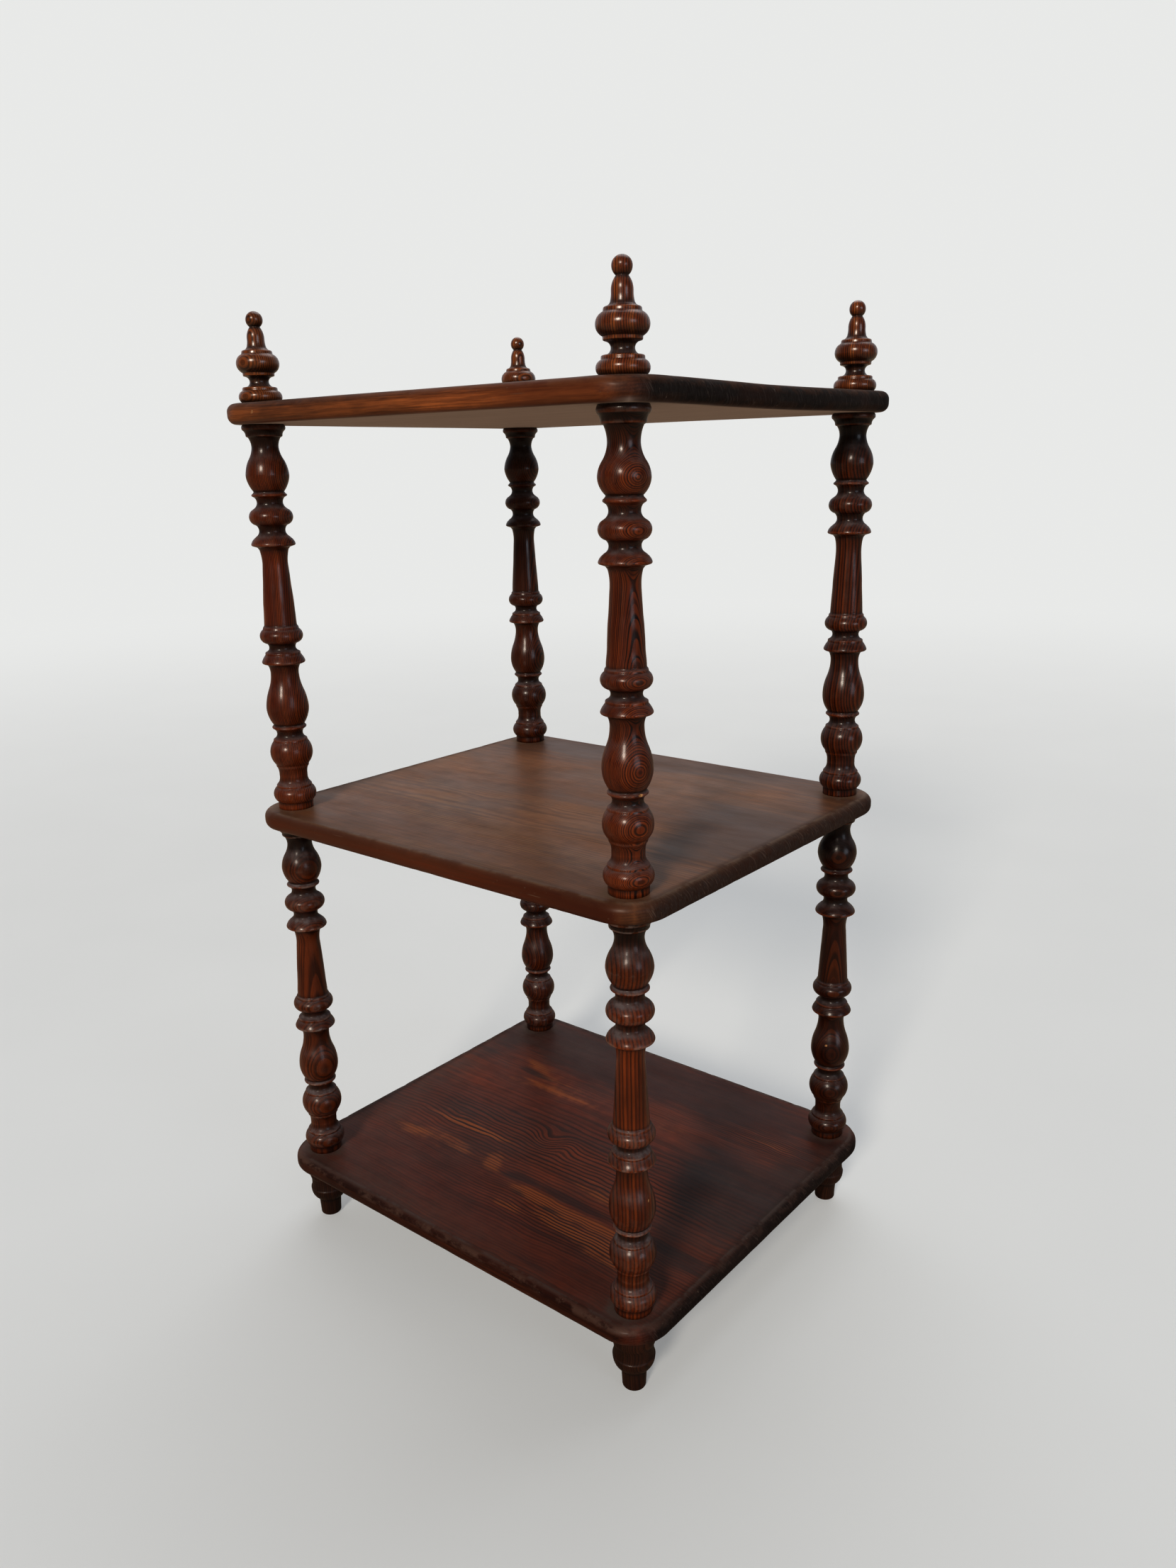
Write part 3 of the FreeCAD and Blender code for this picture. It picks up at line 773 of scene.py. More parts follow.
def turned_wood(name, early, late, deep, glow, rough, coat, dust_amount, line=1.0, film_rough=0.16):
    g = Nodes(name)
    log = g.attr("log", True)
    tone_and_shade = g.attr("tone_and_shade")
    hollow, ridge, ledge = g.attr("hollow"), g.attr("ridge"), g.attr("ledge")
    inside, chip = g.attr("inside"), g.attr("chip")
    k, own, other = ring_lines(g, log, 0.16)
    fa, fb, fc = fibres(g, log)
    coord = g.tree.nodes.new("ShaderNodeTexCoord").outputs["Object"]
    blot = g.noise(coord, 21.0, 3.0, 0.55)
    big = g.noise(g.vmath("MULTIPLY", coord, (1.0, 1.0, 0.5)), 9.0, 2.0, 0.5)
    grime = g.noise(coord, 150.0, 3.0, 0.62)

    base = g.mix(g.step(big, 0.36, 0.66, 0.0, 0.65), early, glow)
    base = g.mix(g.step(other, 0.55, 0.95, 0.0, 0.85), base, glow)
    col = g.mix(g.mul(g.mul(k, g.attr("line")), g.ramp(own, 0.0, 1.0, line * 0.55, line)), base, late)
    col = g.mix(g.step(fb, 0.44, 0.76, 0.0, 0.42), col, late)
    col = g.mix(g.step(fa, 0.52, 0.78, 0.0, 0.42), col, deep)
    col = g.mix(g.mul(g.step(fa, 0.46, 0.24, 0.0, 0.40), g.sub(1.0, k)), col, glow)
    col = g.mix(g.step(fc, 0.70, 0.80, 0.0, 0.50), col, deep)
    # stain taken unevenly, and the tone of this piece, which also carries painted shade under the boards, on undersides
    # and on the posts in shadow, and a painted highlight on the front right finial
    shade = g.mul(g.ramp(blot, 0.25, 0.75, 0.66, 1.32), g.ramp(tone_and_shade, -1.0, 1.0, 0.10, 1.40))
    col = g.mix(1.0, col, g.vec(shade, shade, shade), "MULTIPLY")
    # the hollows of the profile are darkened nearly to black
    dark = g.mul(g.step(hollow, 0.05, 0.85), g.ramp(grime, 0.3, 0.7, 0.72, 1.0))
    col = g.mix(g.mul(dark, 0.90), col, deep)
    # the high arrises are rubbed
    rub = g.mul(g.step(ridge, 0.30, 1.0), g.step(g.noise(coord, 60.0, 3.0, 0.6), 0.36, 0.60))
    col = g.mix(g.mul(rub, 0.45), col, glow)
    scraped = g.mul(g.attr("pale"), g.step(g.noise(coord, 118.0, 3.0, 0.66), 0.42, 0.60))
    col = g.mix(scraped, col, (0.205, 0.160, 0.142))
    # dust on what faces up
    settle = g.noise(coord, 46.0, 4.0, 0.65)
    dust = g.mul(g.mul(ledge, g.ramp(settle, 0.30, 0.66, 0.22, 1.0)), dust_amount)
    dust = g.mul(dust, g.ramp(grime, 0.36, 0.62, 0.50, 1.12))
    dust = g.math("MINIMUM", g.add(dust, g.mul(g.mul(dark, g.step(settle, 0.5, 0.7)), 0.07)), 1.0)
    col = g.mix(dust, col, g.mix(grime, (0.070, 0.054, 0.056), (0.165, 0.132, 0.134)))
    # bare wood in the bores and on the tenons, and in a chip
    bare = g.mix(k, (0.46, 0.29, 0.15), (0.27, 0.13, 0.06))
    col = g.mix(inside, col, bare)
    col = g.mix(g.step(chip, 0.25, 0.7), col, g.mix(g.step(fa, 0.35, 0.65), (0.46, 0.27, 0.12), (0.22, 0.10, 0.045)))
    g.put(g.bsdf.inputs["Base Color"], col)

    smear = g.noise(coord, 38.0, 3.0, 0.6)
    raw = g.math("MAXIMUM", inside, chip)
    r = g.add(g.ramp(smear, 0.25, 0.75, rough - 0.07, rough + 0.11), g.mul(fa, 0.05))
    r = g.add(r, g.mul(dust, 0.42))
    r = g.add(r, g.mul(dark, 0.18))
    r = g.add(r, g.mul(raw, 0.40))
    g.put(g.bsdf.inputs["Roughness"], g.math("MINIMUM", r, 0.92))
    g.bsdf.inputs["Specular IOR Level"].default_value = 0.16
    shine = g.mul(g.mul(g.sub(1.0, g.math("MINIMUM", g.mul(dust, 1.6), 1.0)), g.sub(1.0, raw)), coat)
    g.put(g.bsdf.inputs["Coat Weight"], g.mul(shine, g.ramp(smear, 0.3, 0.7, 1.0, 0.55)))
    g.bsdf.inputs["Coat Roughness"].default_value = film_rough
    x, y, z = g.parts(log)
    h = g.add(g.mul(k, -0.30), g.mul(fa, 0.35))
    tool = g.noise(g.vec(g.mul(x, 8.0), g.mul(y, 8.0), g.mul(z, 1400.0)), 1.0, 2.0, 0.5)
    h = g.add(h, g.mul(tool, 0.16))
    h = g.add(h, g.mul(grime, g.ramp(dust, 0.0, 1.0, 0.18, 0.9)))
    n1 = g.bump(h, 0.60, 0.00020)
    n2 = g.bump(g.noise(coord, 75.0, 1.0, 0.5), 0.30, 0.0006, n1)
    g.link(n2, g.bsdf.inputs["Normal"])
    return g.mat


def board_wood(name, early, late, deep, glow, warm_tint, dark_tint, dusty_tint, underside_tint_and_light,
               end_tint, edge_tint, end_line, corner_tint, worn_tint, rough, coat, line, streaky, spec,
               film_rough=0.22, far=0.0, far_tint=(0.05, 0.01, 0.004), stack=0.55, wiping=1.0):
    g = Nodes(name)
    log = g.attr("log", True)
    place = g.attr("place", True)
    chip, end, rim, under, collar = (g.attr(n) for n in ("chip", "end", "rim", "under", "collar"))
    warm, dark, dusty, clear = (g.attr(n) for n in ("warm", "dark", "dusty", "clear"))
    k, own, other = ring_lines(g, log, 0.22)
    fa, fb, fc = fibres(g, log)
    px, py, pz = g.parts(place)
    stretched = g.vec(g.mul(px, 0.35), py, pz)
    blot = g.noise(stretched, 26.0, 4.0, 0.6)
    mott = g.noise(place, 75.0, 4.0, 0.62)
    broad = g.noise(g.vec(g.mul(px, 0.3), py, pz), 9.0, 2.0, 0.5)
    tear = g.noise(g.vec(g.mul(px, 0.12), py, pz), 110.0, 3.0, 0.65)
    grit = g.noise(place, 420.0, 2.0, 0.6)

    base = g.mix(g.step(broad, 0.36, 0.66), early, glow)
    col = g.mix(g.mul(g.mul(k, clear), g.ramp(own, 0.0, 1.0, line * 0.66, line)), base, late)
    col = g.mix(g.step(fb, 0.40, 0.70, 0.0, 0.62 * streaky), col, late)
    col = g.mix(g.step(fb, 0.42, 0.24, 0.0, 0.50 * streaky), col, glow)
    col = g.mix(g.step(fa, 0.50, 0.76, 0.0, 0.55 * streaky), col, deep)
    col = g.mix(g.step(fc, 0.68, 0.80, 0.0, 0.45), col, deep)
    shade = g.mul(g.ramp(blot, 0.25, 0.75, 0.62, 1.36), g.ramp(mott, 0.3, 0.7, 0.84, 1.14))
    col = g.mix(1.0, col, g.vec(shade, shade, shade), "MULTIPLY")
    # worn, warmer patches and darker patches, each with a broken edge
    torn = g.add(g.mul(g.sub(tear, 0.5), 1.1), g.mul(g.sub(mott, 0.5), 0.5))
    w = g.step(g.add(warm, torn), 0.28, 0.72)
    col = g.mix(g.mul(w, 0.72), col, g.mix(g.mul(k, clear), warm_tint, late))
    d = g.step(g.add(dark, g.mul(torn, 0.8)), 0.25, 0.75)
    col = g.mix(g.mul(d, 0.72), col, dark_tint)
    # the underside was never finished: bare wood, its tint on the top board paled and greyed as painted light from
    # below
    bare = g.mix(g.mul(g.mul(k, clear), 0.5), underside_tint_and_light, warm_tint)
    bare = g.mix(g.step(fb, 0.30, 0.80, 0.0, 0.20), bare, late)
    col = g.mix(g.mul(under, 0.92), col, bare)
    # the long edges are wiped redder, in streaks along the grain, and stay dark at the top
    arris, lip, corner = (g.attr(n) for n in ("arris", "lip", "corner"))
    side = g.mul(rim, g.sub(1.0, end))
    streak = g.noise(g.vec(g.mul(px, 21.0), g.mul(py, 620.0), g.mul(pz, 620.0)), 1.0, 4.0, 0.66)
    wiped = g.mix(g.mul(g.step(streak, 0.28, 0.80), wiping), edge_tint, late)
    wiped = g.mix(g.mul(g.step(blot, 0.40, 0.66), 0.45), wiped, late)
    high = g.step(g.add(pz, g.mul(g.sub(streak, 0.5), 0.006)), 0.0005, 0.0060)
    wiped = g.mix(g.mul(high, 0.62), wiped, late)
    wiped = g.mix(g.mul(g.step(broad, 0.56, 0.40), 0.35), wiped, deep)
    # and are darker and redder toward the corner at the right-hand end
    wiped = g.mix(g.mul(g.step(g.add(px, g.mul(g.sub(streak, 0.5), 0.16)), -0.02, 0.19), far), wiped, far_tint)
    col = g.mix(g.mul(side, 0.97), col, wiped)
    # the end grain drinks the stain: nearly black, with paler broken lines along the rings
    ex, ey, ez = g.mul(px, 300.0), g.mul(py, 900.0), g.mul(pz, 260.0)
    pore = g.noise(g.vec(ex, ey, ez), 1.0, 3.0, 0.65)
    slant = g.noise(g.vec(g.mul(px, 60.0), g.add(g.mul(py, 620.0), g.mul(pz, 330.0)), g.mul(pz, 90.0)), 1.0, 2.0, 0.6)
    rough_end = g.mix(g.step(pore, 0.40, 0.66), end_tint, deep)
    rough_end = g.mix(g.mul(g.step(slant, 0.54, 0.70), 0.75), rough_end, end_line)
    rough_end = g.mix(g.mul(g.step(broad, 0.50, 0.66), 0.30), rough_end, corner_tint)
    mark = g.noise(g.vec(g.mul(px, 150.0), g.mul(py, 260.0), g.mul(pz, 110.0)), 1.0, 3.0, 0.7)
    scuff = g.mul(g.step(mark, 0.66, 0.74), g.step(pore, 0.62, 0.44))
    rough_end = g.mix(g.mul(scuff, 0.8), rough_end, (0.20, 0.165, 0.140))
    col = g.mix(g.mul(end, 0.98), col, rough_end)
    # round the corners the layers show as lines one above another
    layer = g.math("FRACT", g.add(g.mul(pz, 430.0), g.mul(g.noise(place, 34.0, 2.0, 0.5), 2.4)))
    layers = g.mul(g.mul(g.step(layer, 0.30, 0.62), g.step(layer, 1.0, 0.86)), corner)
    col = g.mix(g.mul(corner, 0.72), col, g.mix(g.step(pore, 0.36, 0.64), corner_tint, deep))
    col = g.mix(g.mul(layers, stack), col, deep)
    col = g.mix(g.mul(g.mul(g.step(layer, 0.02, 0.16), g.step(layer, 0.30, 0.16)), g.mul(corner, stack * 0.8)), col, worn_tint)
    # the crown of the rounding is rubbed paler, which also serves as a painted highlight along the rounded edge, and a
    # thin line of wear runs along its lip
    patchy = g.noise(g.vec(g.mul(px, 0.5), g.mul(py, 0.5), pz), 95.0, 4.0, 0.68)
    rubbed_and_highlit = g.mul(g.mul(arris, g.step(patchy, 0.42, 0.60)), g.sub(1.0, g.mul(end, 0.6)))
    col = g.mix(g.mul(rubbed_and_highlit, 0.65), col, worn_tint)
    col = g.mix(g.mul(g.mul(lip, g.step(patchy, 0.60, 0.44)), 0.6), col, dusty_tint)
    ding = g.mul(g.step(g.noise(place, 190.0, 3.0, 0.66), 0.64, 0.70), g.math("MAXIMUM", arris, g.math("MAXIMUM", g.mul(rim, 0.3), g.mul(corner, 0.7))))
    ding = g.mul(ding, g.step(broad, 0.38, 0.62, 0.25, 1.0))
    col = g.mix(g.mul(ding, 0.55), col, (0.15, 0.112, 0.088))
    # dust and wear on the top: in bands, round the posts, and thinly all over
    film = g.add(g.mul(dusty, 0.75), g.mul(collar, g.ramp(mott, 0.35, 0.65, 0.4, 0.9)))
    film = g.mul(film, g.sub(1.0, g.add(g.mul(rim, 0.60), g.mul(side, 0.25))))
    film = g.mul(film, g.ramp(g.noise(place, 33.0, 4.0, 0.65), 0.30, 0.68, 0.35, 1.0))
    col = g.mix(g.math("MINIMUM", film, 0.9), col, dusty_tint)
    # small pale scratches along the grain
    fleck = g.noise(g.vec(g.mul(px, 26.0), g.mul(py, 900.0), g.mul(pz, 900.0)), 1.0, 0.0, 0.5)
    col = g.mix(g.mul(g.step(fleck, 0.80, 0.86), 0.35), col, dusty_tint)
    col = g.mix(g.step(chip, 0.25, 0.7), col, g.mix(g.step(fa, 0.35, 0.65), (0.44, 0.26, 0.12), (0.22, 0.10, 0.045)))
    g.put(g.bsdf.inputs["Base Color"], col)
    smear = g.noise(stretched, 30.0, 3.0, 0.6)
    r = g.add(g.ramp(smear, 0.25, 0.75, rough - 0.06, rough + 0.12), g.mul(fa, 0.06))
    r = g.add(r, g.mul(film, 0.30))
    r = g.add(r, g.mul(g.math("MAXIMUM", g.math("MAXIMUM", end, under), chip), 0.30))
    g.put(g.bsdf.inputs["Roughness"], g.math("MINIMUM", r, 0.92))
    g.bsdf.inputs["Specular IOR Level"].default_value = spec
    cover = g.mul(g.sub(1.0, g.math("MAXIMUM", g.math("MAXIMUM", end, under), g.math("MINIMUM", film, 1.0))), coat)
    cover = g.mul(cover, g.sub(1.0, g.mul(rim, 0.7)))
    g.put(g.bsdf.inputs["Coat Weight"], g.mul(cover, g.ramp(smear, 0.3, 0.7, 1.0, 0.5)))
    g.bsdf.inputs["Coat Roughness"].default_value = film_rough
    h = g.add(g.mul(g.mul(k, clear), -0.5), g.mul(fa, 0.35))
    h = g.add(h, g.mul(grit, 0.15))
    h = g.add(h, g.mul(g.mul(pore, end), 1.3))
    n1 = g.bump(h, 0.55, 0.00016)
    n2 = g.bump(g.noise(stretched, 60.0, 2.0, 0.5), 0.4, 0.0008, n1)
    g.link(n2, g.bsdf.inputs["Normal"])
    return g.mat


DEEP = (0.0052, 0.0016, 0.0011)
LATE = (0.0095, 0.0020, 0.0012)
post_mat = turned_wood("stained_pine_posts", (0.090, 0.0146, 0.0036), LATE, DEEP, (0.180, 0.0390, 0.0075), 0.31, 0.32, 0.75,
                       film_rough=0.19)
finial_mat = turned_wood("stained_pine_finials", (0.116, 0.0270, 0.0075), (0.0110, 0.0028, 0.0015), DEEP, (0.250, 0.078, 0.0180), 0.24, 0.85, 0.45,
                         film_rough=0.25)
foot_mat = turned_wood("stained_pine_feet", (0.026, 0.0080, 0.0042), (0.0100, 0.0036, 0.0024), (0.005, 0.0026, 0.0020), (0.046, 0.0150, 0.0066), 0.46, 0.05, 0.40)
# the top board's underside tint (0.600, 0.525, 0.495) is bare wood with painted light from below
top_mat = board_wood("stained_pine_top_board", (0.095, 0.027, 0.0100), (0.026, 0.0070, 0.0034), DEEP, (0.140, 0.040, 0.0130),
                     (0.21, 0.074, 0.020), (0.018, 0.0090, 0.0070), (0.110, 0.080, 0.060), (0.600, 0.525, 0.495),
                     (0.0120, 0.0096, 0.0094), (0.400, 0.135, 0.0400), (0.046, 0.0370, 0.0345), (0.060, 0.0165, 0.0075),
                     (0.130, 0.046, 0.016), 0.40, 0.16, 0.9, 0.8, 0.20,
                     far=0.55, far_tint=(0.110, 0.027, 0.0090), wiping=0.74)
middle_mat = board_wood("stained_pine_middle_board", (0.208, 0.083, 0.031), (0.084, 0.027, 0.0110), (0.030, 0.0120, 0.0068), (0.280, 0.122, 0.046),
                        (0.300, 0.140, 0.047), (0.060, 0.027, 0.020), (0.200, 0.138, 0.098), (0.100, 0.060, 0.042),
                        (0.036, 0.0235, 0.0205), (0.110, 0.0200, 0.0040), (0.088, 0.060, 0.049), (0.040, 0.0098, 0.0042),
                        (0.070, 0.021, 0.0075), 0.36, 0.52, 0.78, 0.50, 0.15, film_rough=0.33,
                        far=0.80, far_tint=(0.046, 0.0075, 0.0022), stack=1.0)
bottom_mat = board_wood("stained_pine_bottom_board", (0.135, 0.0235, 0.0086), (0.0100, 0.0026, 0.0019), (0.0060, 0.0024, 0.0020), (0.190, 0.037, 0.0110),
                        (0.370, 0.100, 0.0175), (0.0175, 0.0070, 0.0080), (0.110, 0.080, 0.070), (0.045, 0.025, 0.017),
                        (0.0100, 0.0068, 0.0060), (0.075, 0.0180, 0.0070), (0.040, 0.028, 0.025), (0.044, 0.0270, 0.0225),
                        (0.108, 0.060, 0.045), 0.38, 0.14, 1.0, 0.5, 0.13)


# ---------------------------------------------------------- what the boards show
def bottom_paint(x, y):
    warm = (0.62 * blob(x, y, -120, -52, 34, 4.5, 4) + 0.70 * blob(x, y, -40, -86, 9, 14, 35)
            + 0.80 * blob(x, y, 24, -101, 16, 4.0, 4) + 0.88 * blob(x, y, 62, -106, 18, 4.6, 2)
            + 0.88 * blob(x, y, 108, -104, 19, 4.0, -3) + 0.72 * blob(x, y, 138, -124, 26, 10)
            + 0.66 * blob(x, y, 84, -125, 22, 5) + 0.58 * blob(x, y, 22, -131, 19, 3.6)
            + 0.34 * blob(x, y, -86, -84, 16, 8, -10) + 0.50 * blob(x, y, -150, -92, 18, 7, 10)
            + 0.62 * blob(x, y, -78, -50, 34, 3.0) + 0.50 * blob(x, y, -128, -40, 26, 3.0)
            + 0.45 * blob(x, y, 158, -140, 22, 5) + 0.55 * blob(x, y, 98, -66, 26, 3.0)
            + 0.34 * blob(x, y, -118, 94, 30, 10, -6) + 0.24 * blob(x, y, -70, 58, 30, 7)
            + 0.40 * blob(x, y, -30, -28, 14, 7) + 0.42 * blob(x, y, -120, -90, 34, 9)
            + 0.62 * blob(x, y, 172, 110, 24, 6) + 0.34 * blob(x, y, 180, 62, 26, 18)
            + 0.36 * blob(x, y, -70, 64, 70, 16) + 0.36 * blob(x, y, -140, 92, 16, 5, -20)
            + 0.30 * blob(x, y, 70, 70, 30, 16) + 0.34 * blob(x, y, 80, -62, 90, 14)
            + 0.34 * blob(x, y, 62, -114, 80, 14))
    dark = (0.84 * blob(x, y, 68, -88, 50, 5.6, -2) + 0.72 * blob(x, y, -6, -90, 15, 4.2, 8) + 0.60 * blob(x, y, 195, -96, 26, 9)
            + 0.66 * blob(x, y, 168, 0, 24, 34, 30) + 0.58 * blob(x, y, 36, 160, 46, 8, -8)
            + 0.72 * blob(x, y, -128, 75, 18, 3.5, -6) + 0.42 * blob(x, y, -60, 120, 90, 26)
            + 0.45 * blob(x, y, 110, 145, 70, 22) + 0.44 * blob(x, y, -205, 40, 16, 120)
            + 0.50 * blob(x, y, 90, -143, 55, 3.0) + 0.42 * blob(x, y, 105, -182, 30, 7)
            + 0.40 * blob(x, y, 45, -112.5, 95, 1.6) + 0.45 * blob(x, y, 215, 30, 16, 90)
            + 0.42 * blob(x, y, -120, 150, 95, 45) + 0.32 * blob(x, y, 150, 60, 80, 60)
            + 0.30 * blob(x, y, 40, -170, 70, 12) + 0.34 * blob(x, y, 168, 10, 46, 70)
            + 0.52 * blob(x, y, 0, 172, 170, 30) + 0.55 * blob(x, y, 56, -112, 9, 3.0, 8)
            + 0.55 * blob(x, y, 14, -108, 8, 3.0, -6))
    dusty = (0.62 * blob(x, y, -222, 0, 26, 150) + 0.50 * blob(x, y, -90, -185, 110, 16)
             + 0.55 * blob(x, y, -164, 72, 13, 4, -8) + 0.36 * blob(x, y, 222, 90, 18, 70)
             + 0.30 * blob(x, y, -150, 150, 60, 40) + 0.22 * blob(x, y, 150, 30, 20, 10)
             + 0.75 * blob(x, y, 208, -186, 26, 13) + 0.30 * blob(x, y, -60, -197, 170, 6) + 0.19
             + 0.26 * blob(x, y, -160, -140, 60, 55) + 0.22 * blob(x, y, 190, -60, 40, 90))
    clear = np.clip(0.30 + 1.0 * blob(x, y, 40, -30, 130, 26) + 0.8 * blob(x, y, 85, -125, 95, 18)
                    + 0.9 * blob(x, y, 165, 110, 40, 12) + 0.5 * blob(x, y, -70, -50, 90, 30) + 0.35 * blob(x, y, 60, 25, 120, 16), 0, 1)
    return {"warm": warm, "dark": dark, "dusty": dusty, "clear": clear}


def middle_paint(x, y):
    warm = (0.50 * blob(x, y, -90, -75, 80, 26) + 0.46 * blob(x, y, -20, -120, 120, 14)
            + 0.40 * blob(x, y, 110, -150, 80, 20) + 0.34 * blob(x, y, -150, -30, 60, 16)
            + 0.36 * blob(x, y, 165, 110, 36, 18))
    dark = (0.34 * blob(x, y, 150, 55, 30, 12) + 0.30 * blob(x, y, -190, 60, 30, 60)
            + 0.30 * blob(x, y, 190, -40, 30, 50) + 0.32 * blob(x, y, -36, -70, 5, 3)
            + 0.34 * blob(x, y, -60, 170, 100, 12) + 0.42 * blob(x, y, -110, 150, 120, 45)
            + 0.30 * blob(x, y, 150, -40, 70, 60) + 0.52 * blob(x, y, 205, 60, 50, 110)
            + 0.46 * blob(x, y, 20, 176, 190, 34) + 0.42 * blob(x, y, 222, -190, 24, 16))
    dusty = (0.25 + 0.18 * blob(x, y, 60, 40, 130, 90) + 0.35 * blob(x, y, -170, -62, 24, 2.2)
             + 0.40 * blob(x, y, -222, 0, 14, 150) + 0.35 * blob(x, y, 0, -192, 190, 7))
    return {"warm": warm, "dark": dark, "dusty": dusty, "clear": np.full_like(x, 0.55)}


def top_paint(x, y):
    warm = 0.45 * blob(x, y, -60, 30, 90, 24) + 0.45 * blob(x, y, 90, -60, 80, 16)
    dark = 0.45 * blob(x, y, 120, 110, 50, 20) + 0.35 * blob(x, y, -150, -120, 40, 20)
    dusty = 0.42 + 0.35 * blob(x, y, 0, 60, 120, 70)
    return {"warm": warm, "dark": dark, "dusty": dusty, "clear": np.full_like(x, 0.7)}


# ---------------------------------------------------------------- the pieces
shelf("bottom_shelf", Z_BOTTOM, TENON_R + PLAY, bottom_mat, 2,
      bottom_grain(2), bottom_paint)
shelf("middle_shelf", Z_MIDDLE, TENON_R + PLAY, middle_mat, 3,
      flat_sawn(-60.0, 34.0, 2.9, 3), middle_paint)
shelf("top_shelf", Z_TOP, PEG_R + PLAY, top_mat, 4,
      flat_sawn(30.0, 26.0, 3.0, 4), top_paint, sag=1.4,
      dents=((-171.0, -201.0, 9.0, (1.5, 2.0, 1.6), 0.5),))

#            foot, lower post, upper post, finial: bearing of the bark side
BARK = {"front_left": (60, -21, 42, 100), "front_right": (0, -146, -23, 38),
        "back_left": (150, -110, 12, -20), "back_right": (-100, -60, 18, 30)}
# tone of each piece, for foot, lower post, upper post, finial: partly the stain's own variation, partly painted shade,
# darkest on the back and right posts, which stand in shadow, and a painted highlight on the front right finial, which
# is set lightest
SHADE = {"front_left": (0.3, -0.14, 0.40, 0.28), "front_right": (0.3, 0.12, 0.34, 0.60),
         "back_left": (0.2, -0.40, -0.36, 0.36), "back_right": (0.2, -0.62, -0.24, 0.42)}
for i, (col_name, at) in enumerate(COLUMNS.items()):
    bark, shade = BARK[col_name], SHADE[col_name]
    turning("foot_" + col_name, FOOT, at, 0.0, None, (TENON_R + PLAY, TENON_IN + GAP), "root",
            foot_mat, 10 + i, bark[0], tone_and_shade=shade[0], segs=64)
    # each post's top, just under a board, is darkened as painted shade
    turning("lower_post_" + col_name, POST, at, Z_LOWER, (TENON_R, SHELF_T + TENON_IN),
            (TENON_R + PLAY, TENON_IN + GAP), "root", post_mat, 20 + i, bark[1], under_board_shade=1.25, eye=19.0 if i in (0, 3) else None,
            nicks={1: ((108.7, -5, 0.12, 1.0, 0.75),), 3: ((112.2, -77, 0.1, 0.35, 1.9), (109.6, -77, 0.1, 0.35, 2.0),
                       (107.2, -76, 0.1, 0.35, 1.7))}.get(i, ()),
            widths=((2.9, 2.4), (3.3, 2.8), (2.4, 1.8), (2.3, 1.2))[i], lean=(0.004, 0.012), tone_and_shade=shade[1], dusty=(1.6, 1.6, 1.3, 0.8)[i],
            line=0.80, pale=(0.50, 0.46, 0.25, 0.05)[i])
    turning("upper_post_" + col_name, stretched(POST, FRONT_POST_STATIONS) if i == 1 else POST, at, Z_UPPER, (TENON_R, SHELF_T + TENON_IN),
            (PEG_R + PLAY, PEG_IN + GAP), "root", post_mat, 30 + i, bark[2], under_board_shade=1.35, eye=19.0 if i == 3 else None,
            eyes=((303.1, 1.9, 3.2), (264.3, 0.9, 3.0), (97.3, 1.3, 3.6)) if i == 1 else (),
            line=1.0, bowed=0.35 if i == 1 else 0.9, pale=0.20,
            widths=((1.5, 1.3), (2.5, 0.75), (2.2, 1.4), (3.2, 2.2))[i], lean=(-0.006, 0.004), tone_and_shade=shade[2],
            nicks=((78.6, -13.0, 1.3, 1.1, 2.2),) if col_name == "front_right" else ())
    # the finials' undersides are darkened as painted shade
    turning("finial_" + col_name, FINIAL, at, Z_FINIAL, (PEG_R, SHELF_T + PEG_IN), None,
            "finial_" + col_name, finial_mat, 40 + i, bark[3],
            widths=(1.9, 1.5), tone_and_shade=shade[3], dusty=0.8, segs=80, line=0.9, shaded=1.15)

# --------------------------------------------------------- floor, light, camera
g = Nodes("studio_floor")
co = g.tree.nodes.new("ShaderNodeTexCoord").outputs["Object"]
v = g.ramp(g.noise(co, 3.0, 2.0, 0.5), 0.3, 0.7, 0.690, 0.712)
g.put(g.bsdf.inputs["Base Color"], g.vec(g.mul(v, 0.955), g.mul(v, 0.985), v))
g.bsdf.inputs["Roughness"].default_value = 0.65
# the floor runs out into the wall's pale tone, as a studio sweep does
far = g.step(g.vmath("LENGTH", co), 0.9, 5.5, 0.36, 1.0)
glow = g.tree.nodes.new("ShaderNodeEmission")
glow.inputs[0].default_value = (0.845, 0.850, 0.842, 1)
sweep = g.tree.nodes.new("ShaderNodeMixShader")
g.link(far, sweep.inputs[0])
g.link(g.bsdf.outputs[0], sweep.inputs[1])
g.link(glow.outputs[0], sweep.inputs[2])
# what the object is lit by and reflects from below is a darker, brown wooden floor
brown = g.tree.nodes.new("ShaderNodeBsdfDiffuse")
brown.inputs[0].default_value = (0.46, 0.37, 0.28, 1)
seen_by = g.tree.nodes.new("ShaderNodeLightPath")
either = g.tree.nodes.new("ShaderNodeMixShader")
g.link(seen_by.outputs["Is Camera Ray"], either.inputs[0])
g.link(brown.outputs[0], either.inputs[1])
g.link(sweep.outputs[0], either.inputs[2])
g.link(either.outputs[0], g.out.inputs[0])
n = 96
fv = [(0, 0, 0)] + [(60 * math.cos(2 * math.pi * i / n), 60 * math.sin(2 * math.pi * i / n), 0) for i in range(n)]
me = bpy.data.meshes.new("studio_floor")
me.from_pydata(fv, [], [(0, 1 + i, 1 + (i + 1) % n) for i in range(n)])
floor = bpy.data.objects.new("studio_floor", me)
bpy.context.scene.collection.objects.link(floor)
me.materials.append(g.mat)

world = bpy.data.worlds.new("studio")
bpy.context.scene.world = world
world.use_nodes = True
wt = world.node_tree
wt.nodes.clear()
seen = wt.nodes.new("ShaderNodeBackground")
seen.inputs[0].default_value = (0.845, 0.850, 0.842, 1)
seen.inputs[1].default_value = 1.0
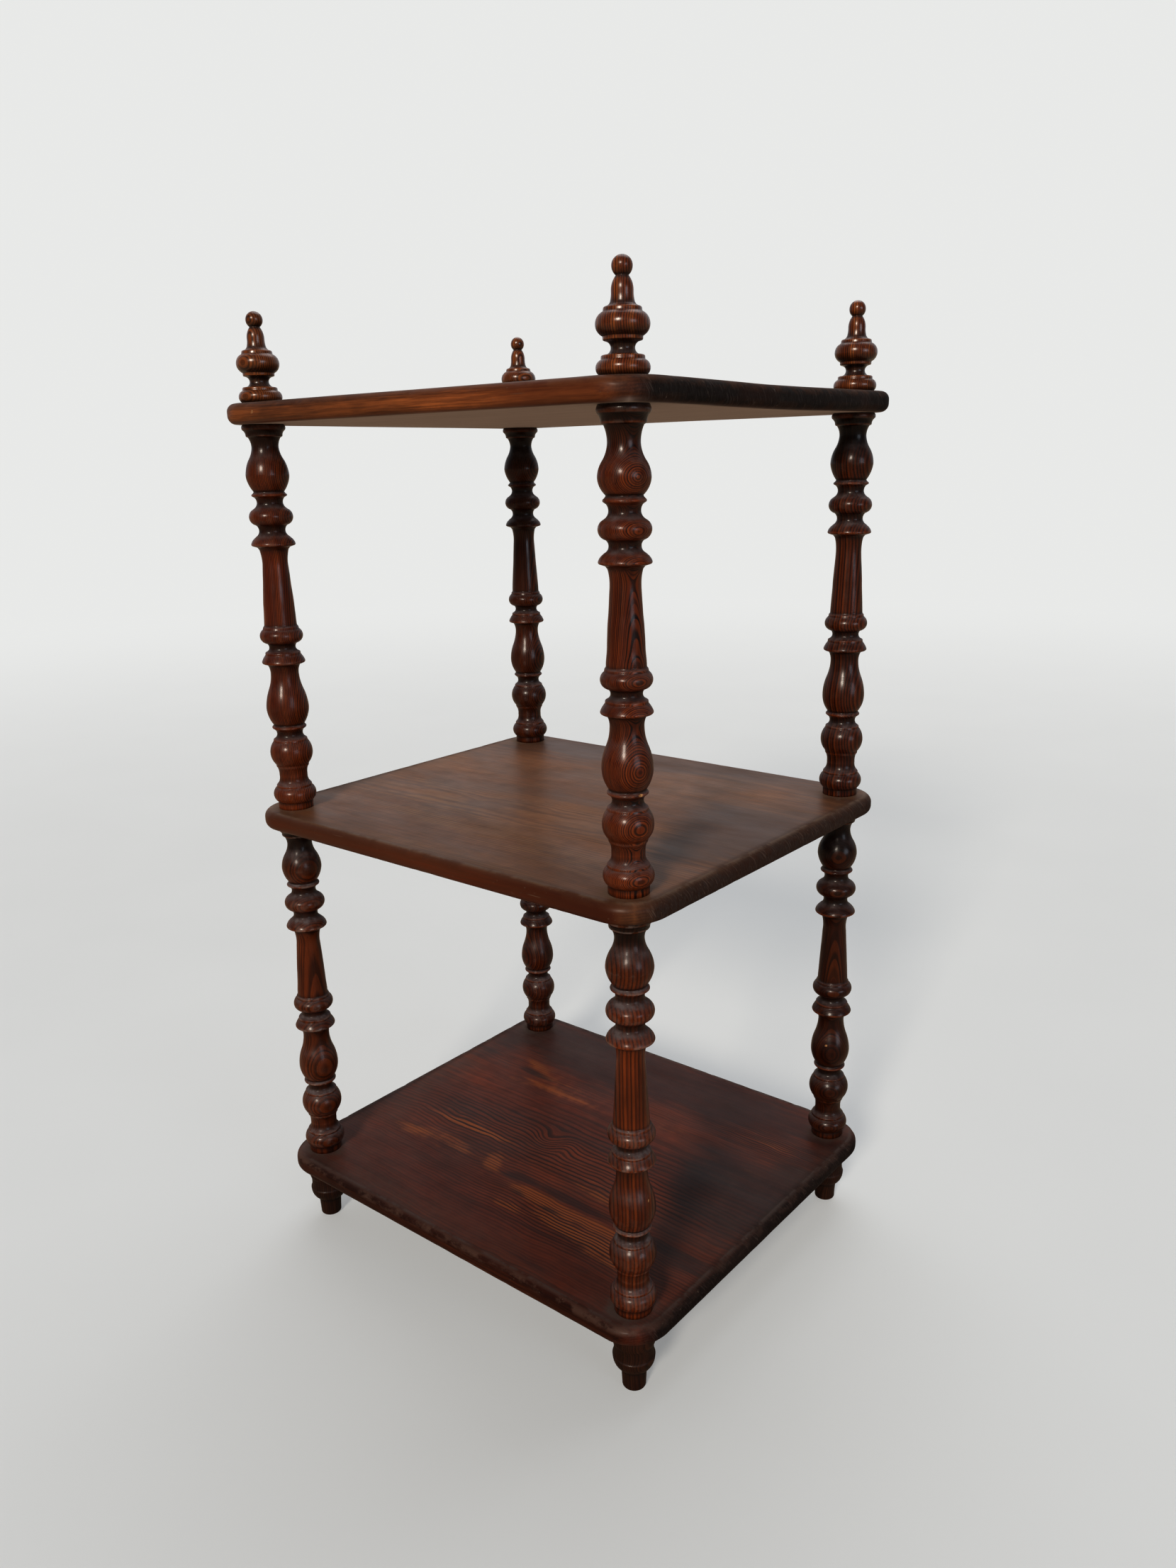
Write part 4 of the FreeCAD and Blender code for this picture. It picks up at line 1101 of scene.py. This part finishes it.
# the object feels a dim room round the camera and a bright wall behind
way = wt.nodes.new("ShaderNodeTexCoord")
toward = wt.nodes.new("ShaderNodeVectorMath")
toward.operation = "DOT_PRODUCT"
toward.inputs[1].default_value = (-0.633, 0.774, 0.0)
wt.links.new(way.outputs["Generated"], toward.inputs[0])
wall = wt.nodes.new("ShaderNodeMapRange")
wall.interpolation_type = "SMOOTHSTEP"
wall.inputs["From Min"].default_value = -0.05
wall.inputs["From Max"].default_value = 0.55
wall.inputs["To Min"].default_value = 0.13
wall.inputs["To Max"].default_value = 0.62
wt.links.new(toward.outputs["Value"], wall.inputs["Value"])
felt = wt.nodes.new("ShaderNodeBackground")
felt.inputs[0].default_value = (0.97, 0.97, 1.0, 1)
wt.links.new(wall.outputs[0], felt.inputs[1])
path = wt.nodes.new("ShaderNodeLightPath")
pick = wt.nodes.new("ShaderNodeMixShader")
wout = wt.nodes.new("ShaderNodeOutputWorld")
wt.links.new(path.outputs["Is Camera Ray"], pick.inputs[0])
wt.links.new(felt.outputs[0], pick.inputs[1])
wt.links.new(seen.outputs[0], pick.inputs[2])
wt.links.new(pick.outputs[0], wout.inputs[0])


def lamp(name, aside, up, strength, spread, colour):
    """A distant soft lamp.  aside is its bearing in degrees from the photograph's view
    line, right positive, and up its height above the horizon."""
    a = math.atan2(-0.83765, 0.70895) + math.radians(aside)
    e = math.radians(up)
    way = Vector((math.cos(a) * math.cos(e), math.sin(a) * math.cos(e), math.sin(e)))
    data = bpy.data.lights.new(name, "SUN")
    data.energy = strength
    data.angle = math.radians(spread)
    data.color = colour
    ob = bpy.data.objects.new(name, data)
    ob.location = way * 4
    ob.rotation_euler = (-way).to_track_quat("-Z", "Y").to_euler()
    bpy.context.scene.collection.objects.link(ob)


lamp("lamp_warm", -22, 25, 2.8, 12, (1.0, 0.91, 0.79))
lamp("lamp_window", 41, 7, 0.9, 26, (0.78, 0.88, 1.0))
lamp("lamp_high", 165, 62, 0.9, 50, (0.96, 0.98, 1.0))

cam_data = bpy.data.cameras.new("camera")
cam_data.lens = 27.163
cam_data.sensor_width = 36.0
cam_data.sensor_fit = "AUTO"
cam_data.clip_start = 0.05
cam = bpy.data.objects.new("camera", cam_data)
bpy.context.scene.collection.objects.link(cam)
az, pitch, roll = (math.radians(a) for a in (39.2674, 15.1998, -1.1529))
fwd = Vector((-math.sin(az) * math.cos(pitch), math.cos(az) * math.cos(pitch), -math.sin(pitch)))
right = Vector((math.cos(az), math.sin(az), 0))
upv = right.cross(fwd)
r2 = right * math.cos(roll) + upv * math.sin(roll)
u2 = upv * math.cos(roll) - right * math.sin(roll)
m = Matrix((r2, u2, -fwd)).transposed().to_4x4()
m.translation = Vector((0.70895, -0.83765, 0.75853))
cam.matrix_world = m
bpy.context.scene.camera = cam
bpy.context.scene.view_settings.view_transform = "Standard"
bpy.context.scene.view_settings.look = "None"
bpy.context.scene.view_settings.gamma = 0.80

bpy.context.view_layer.update()
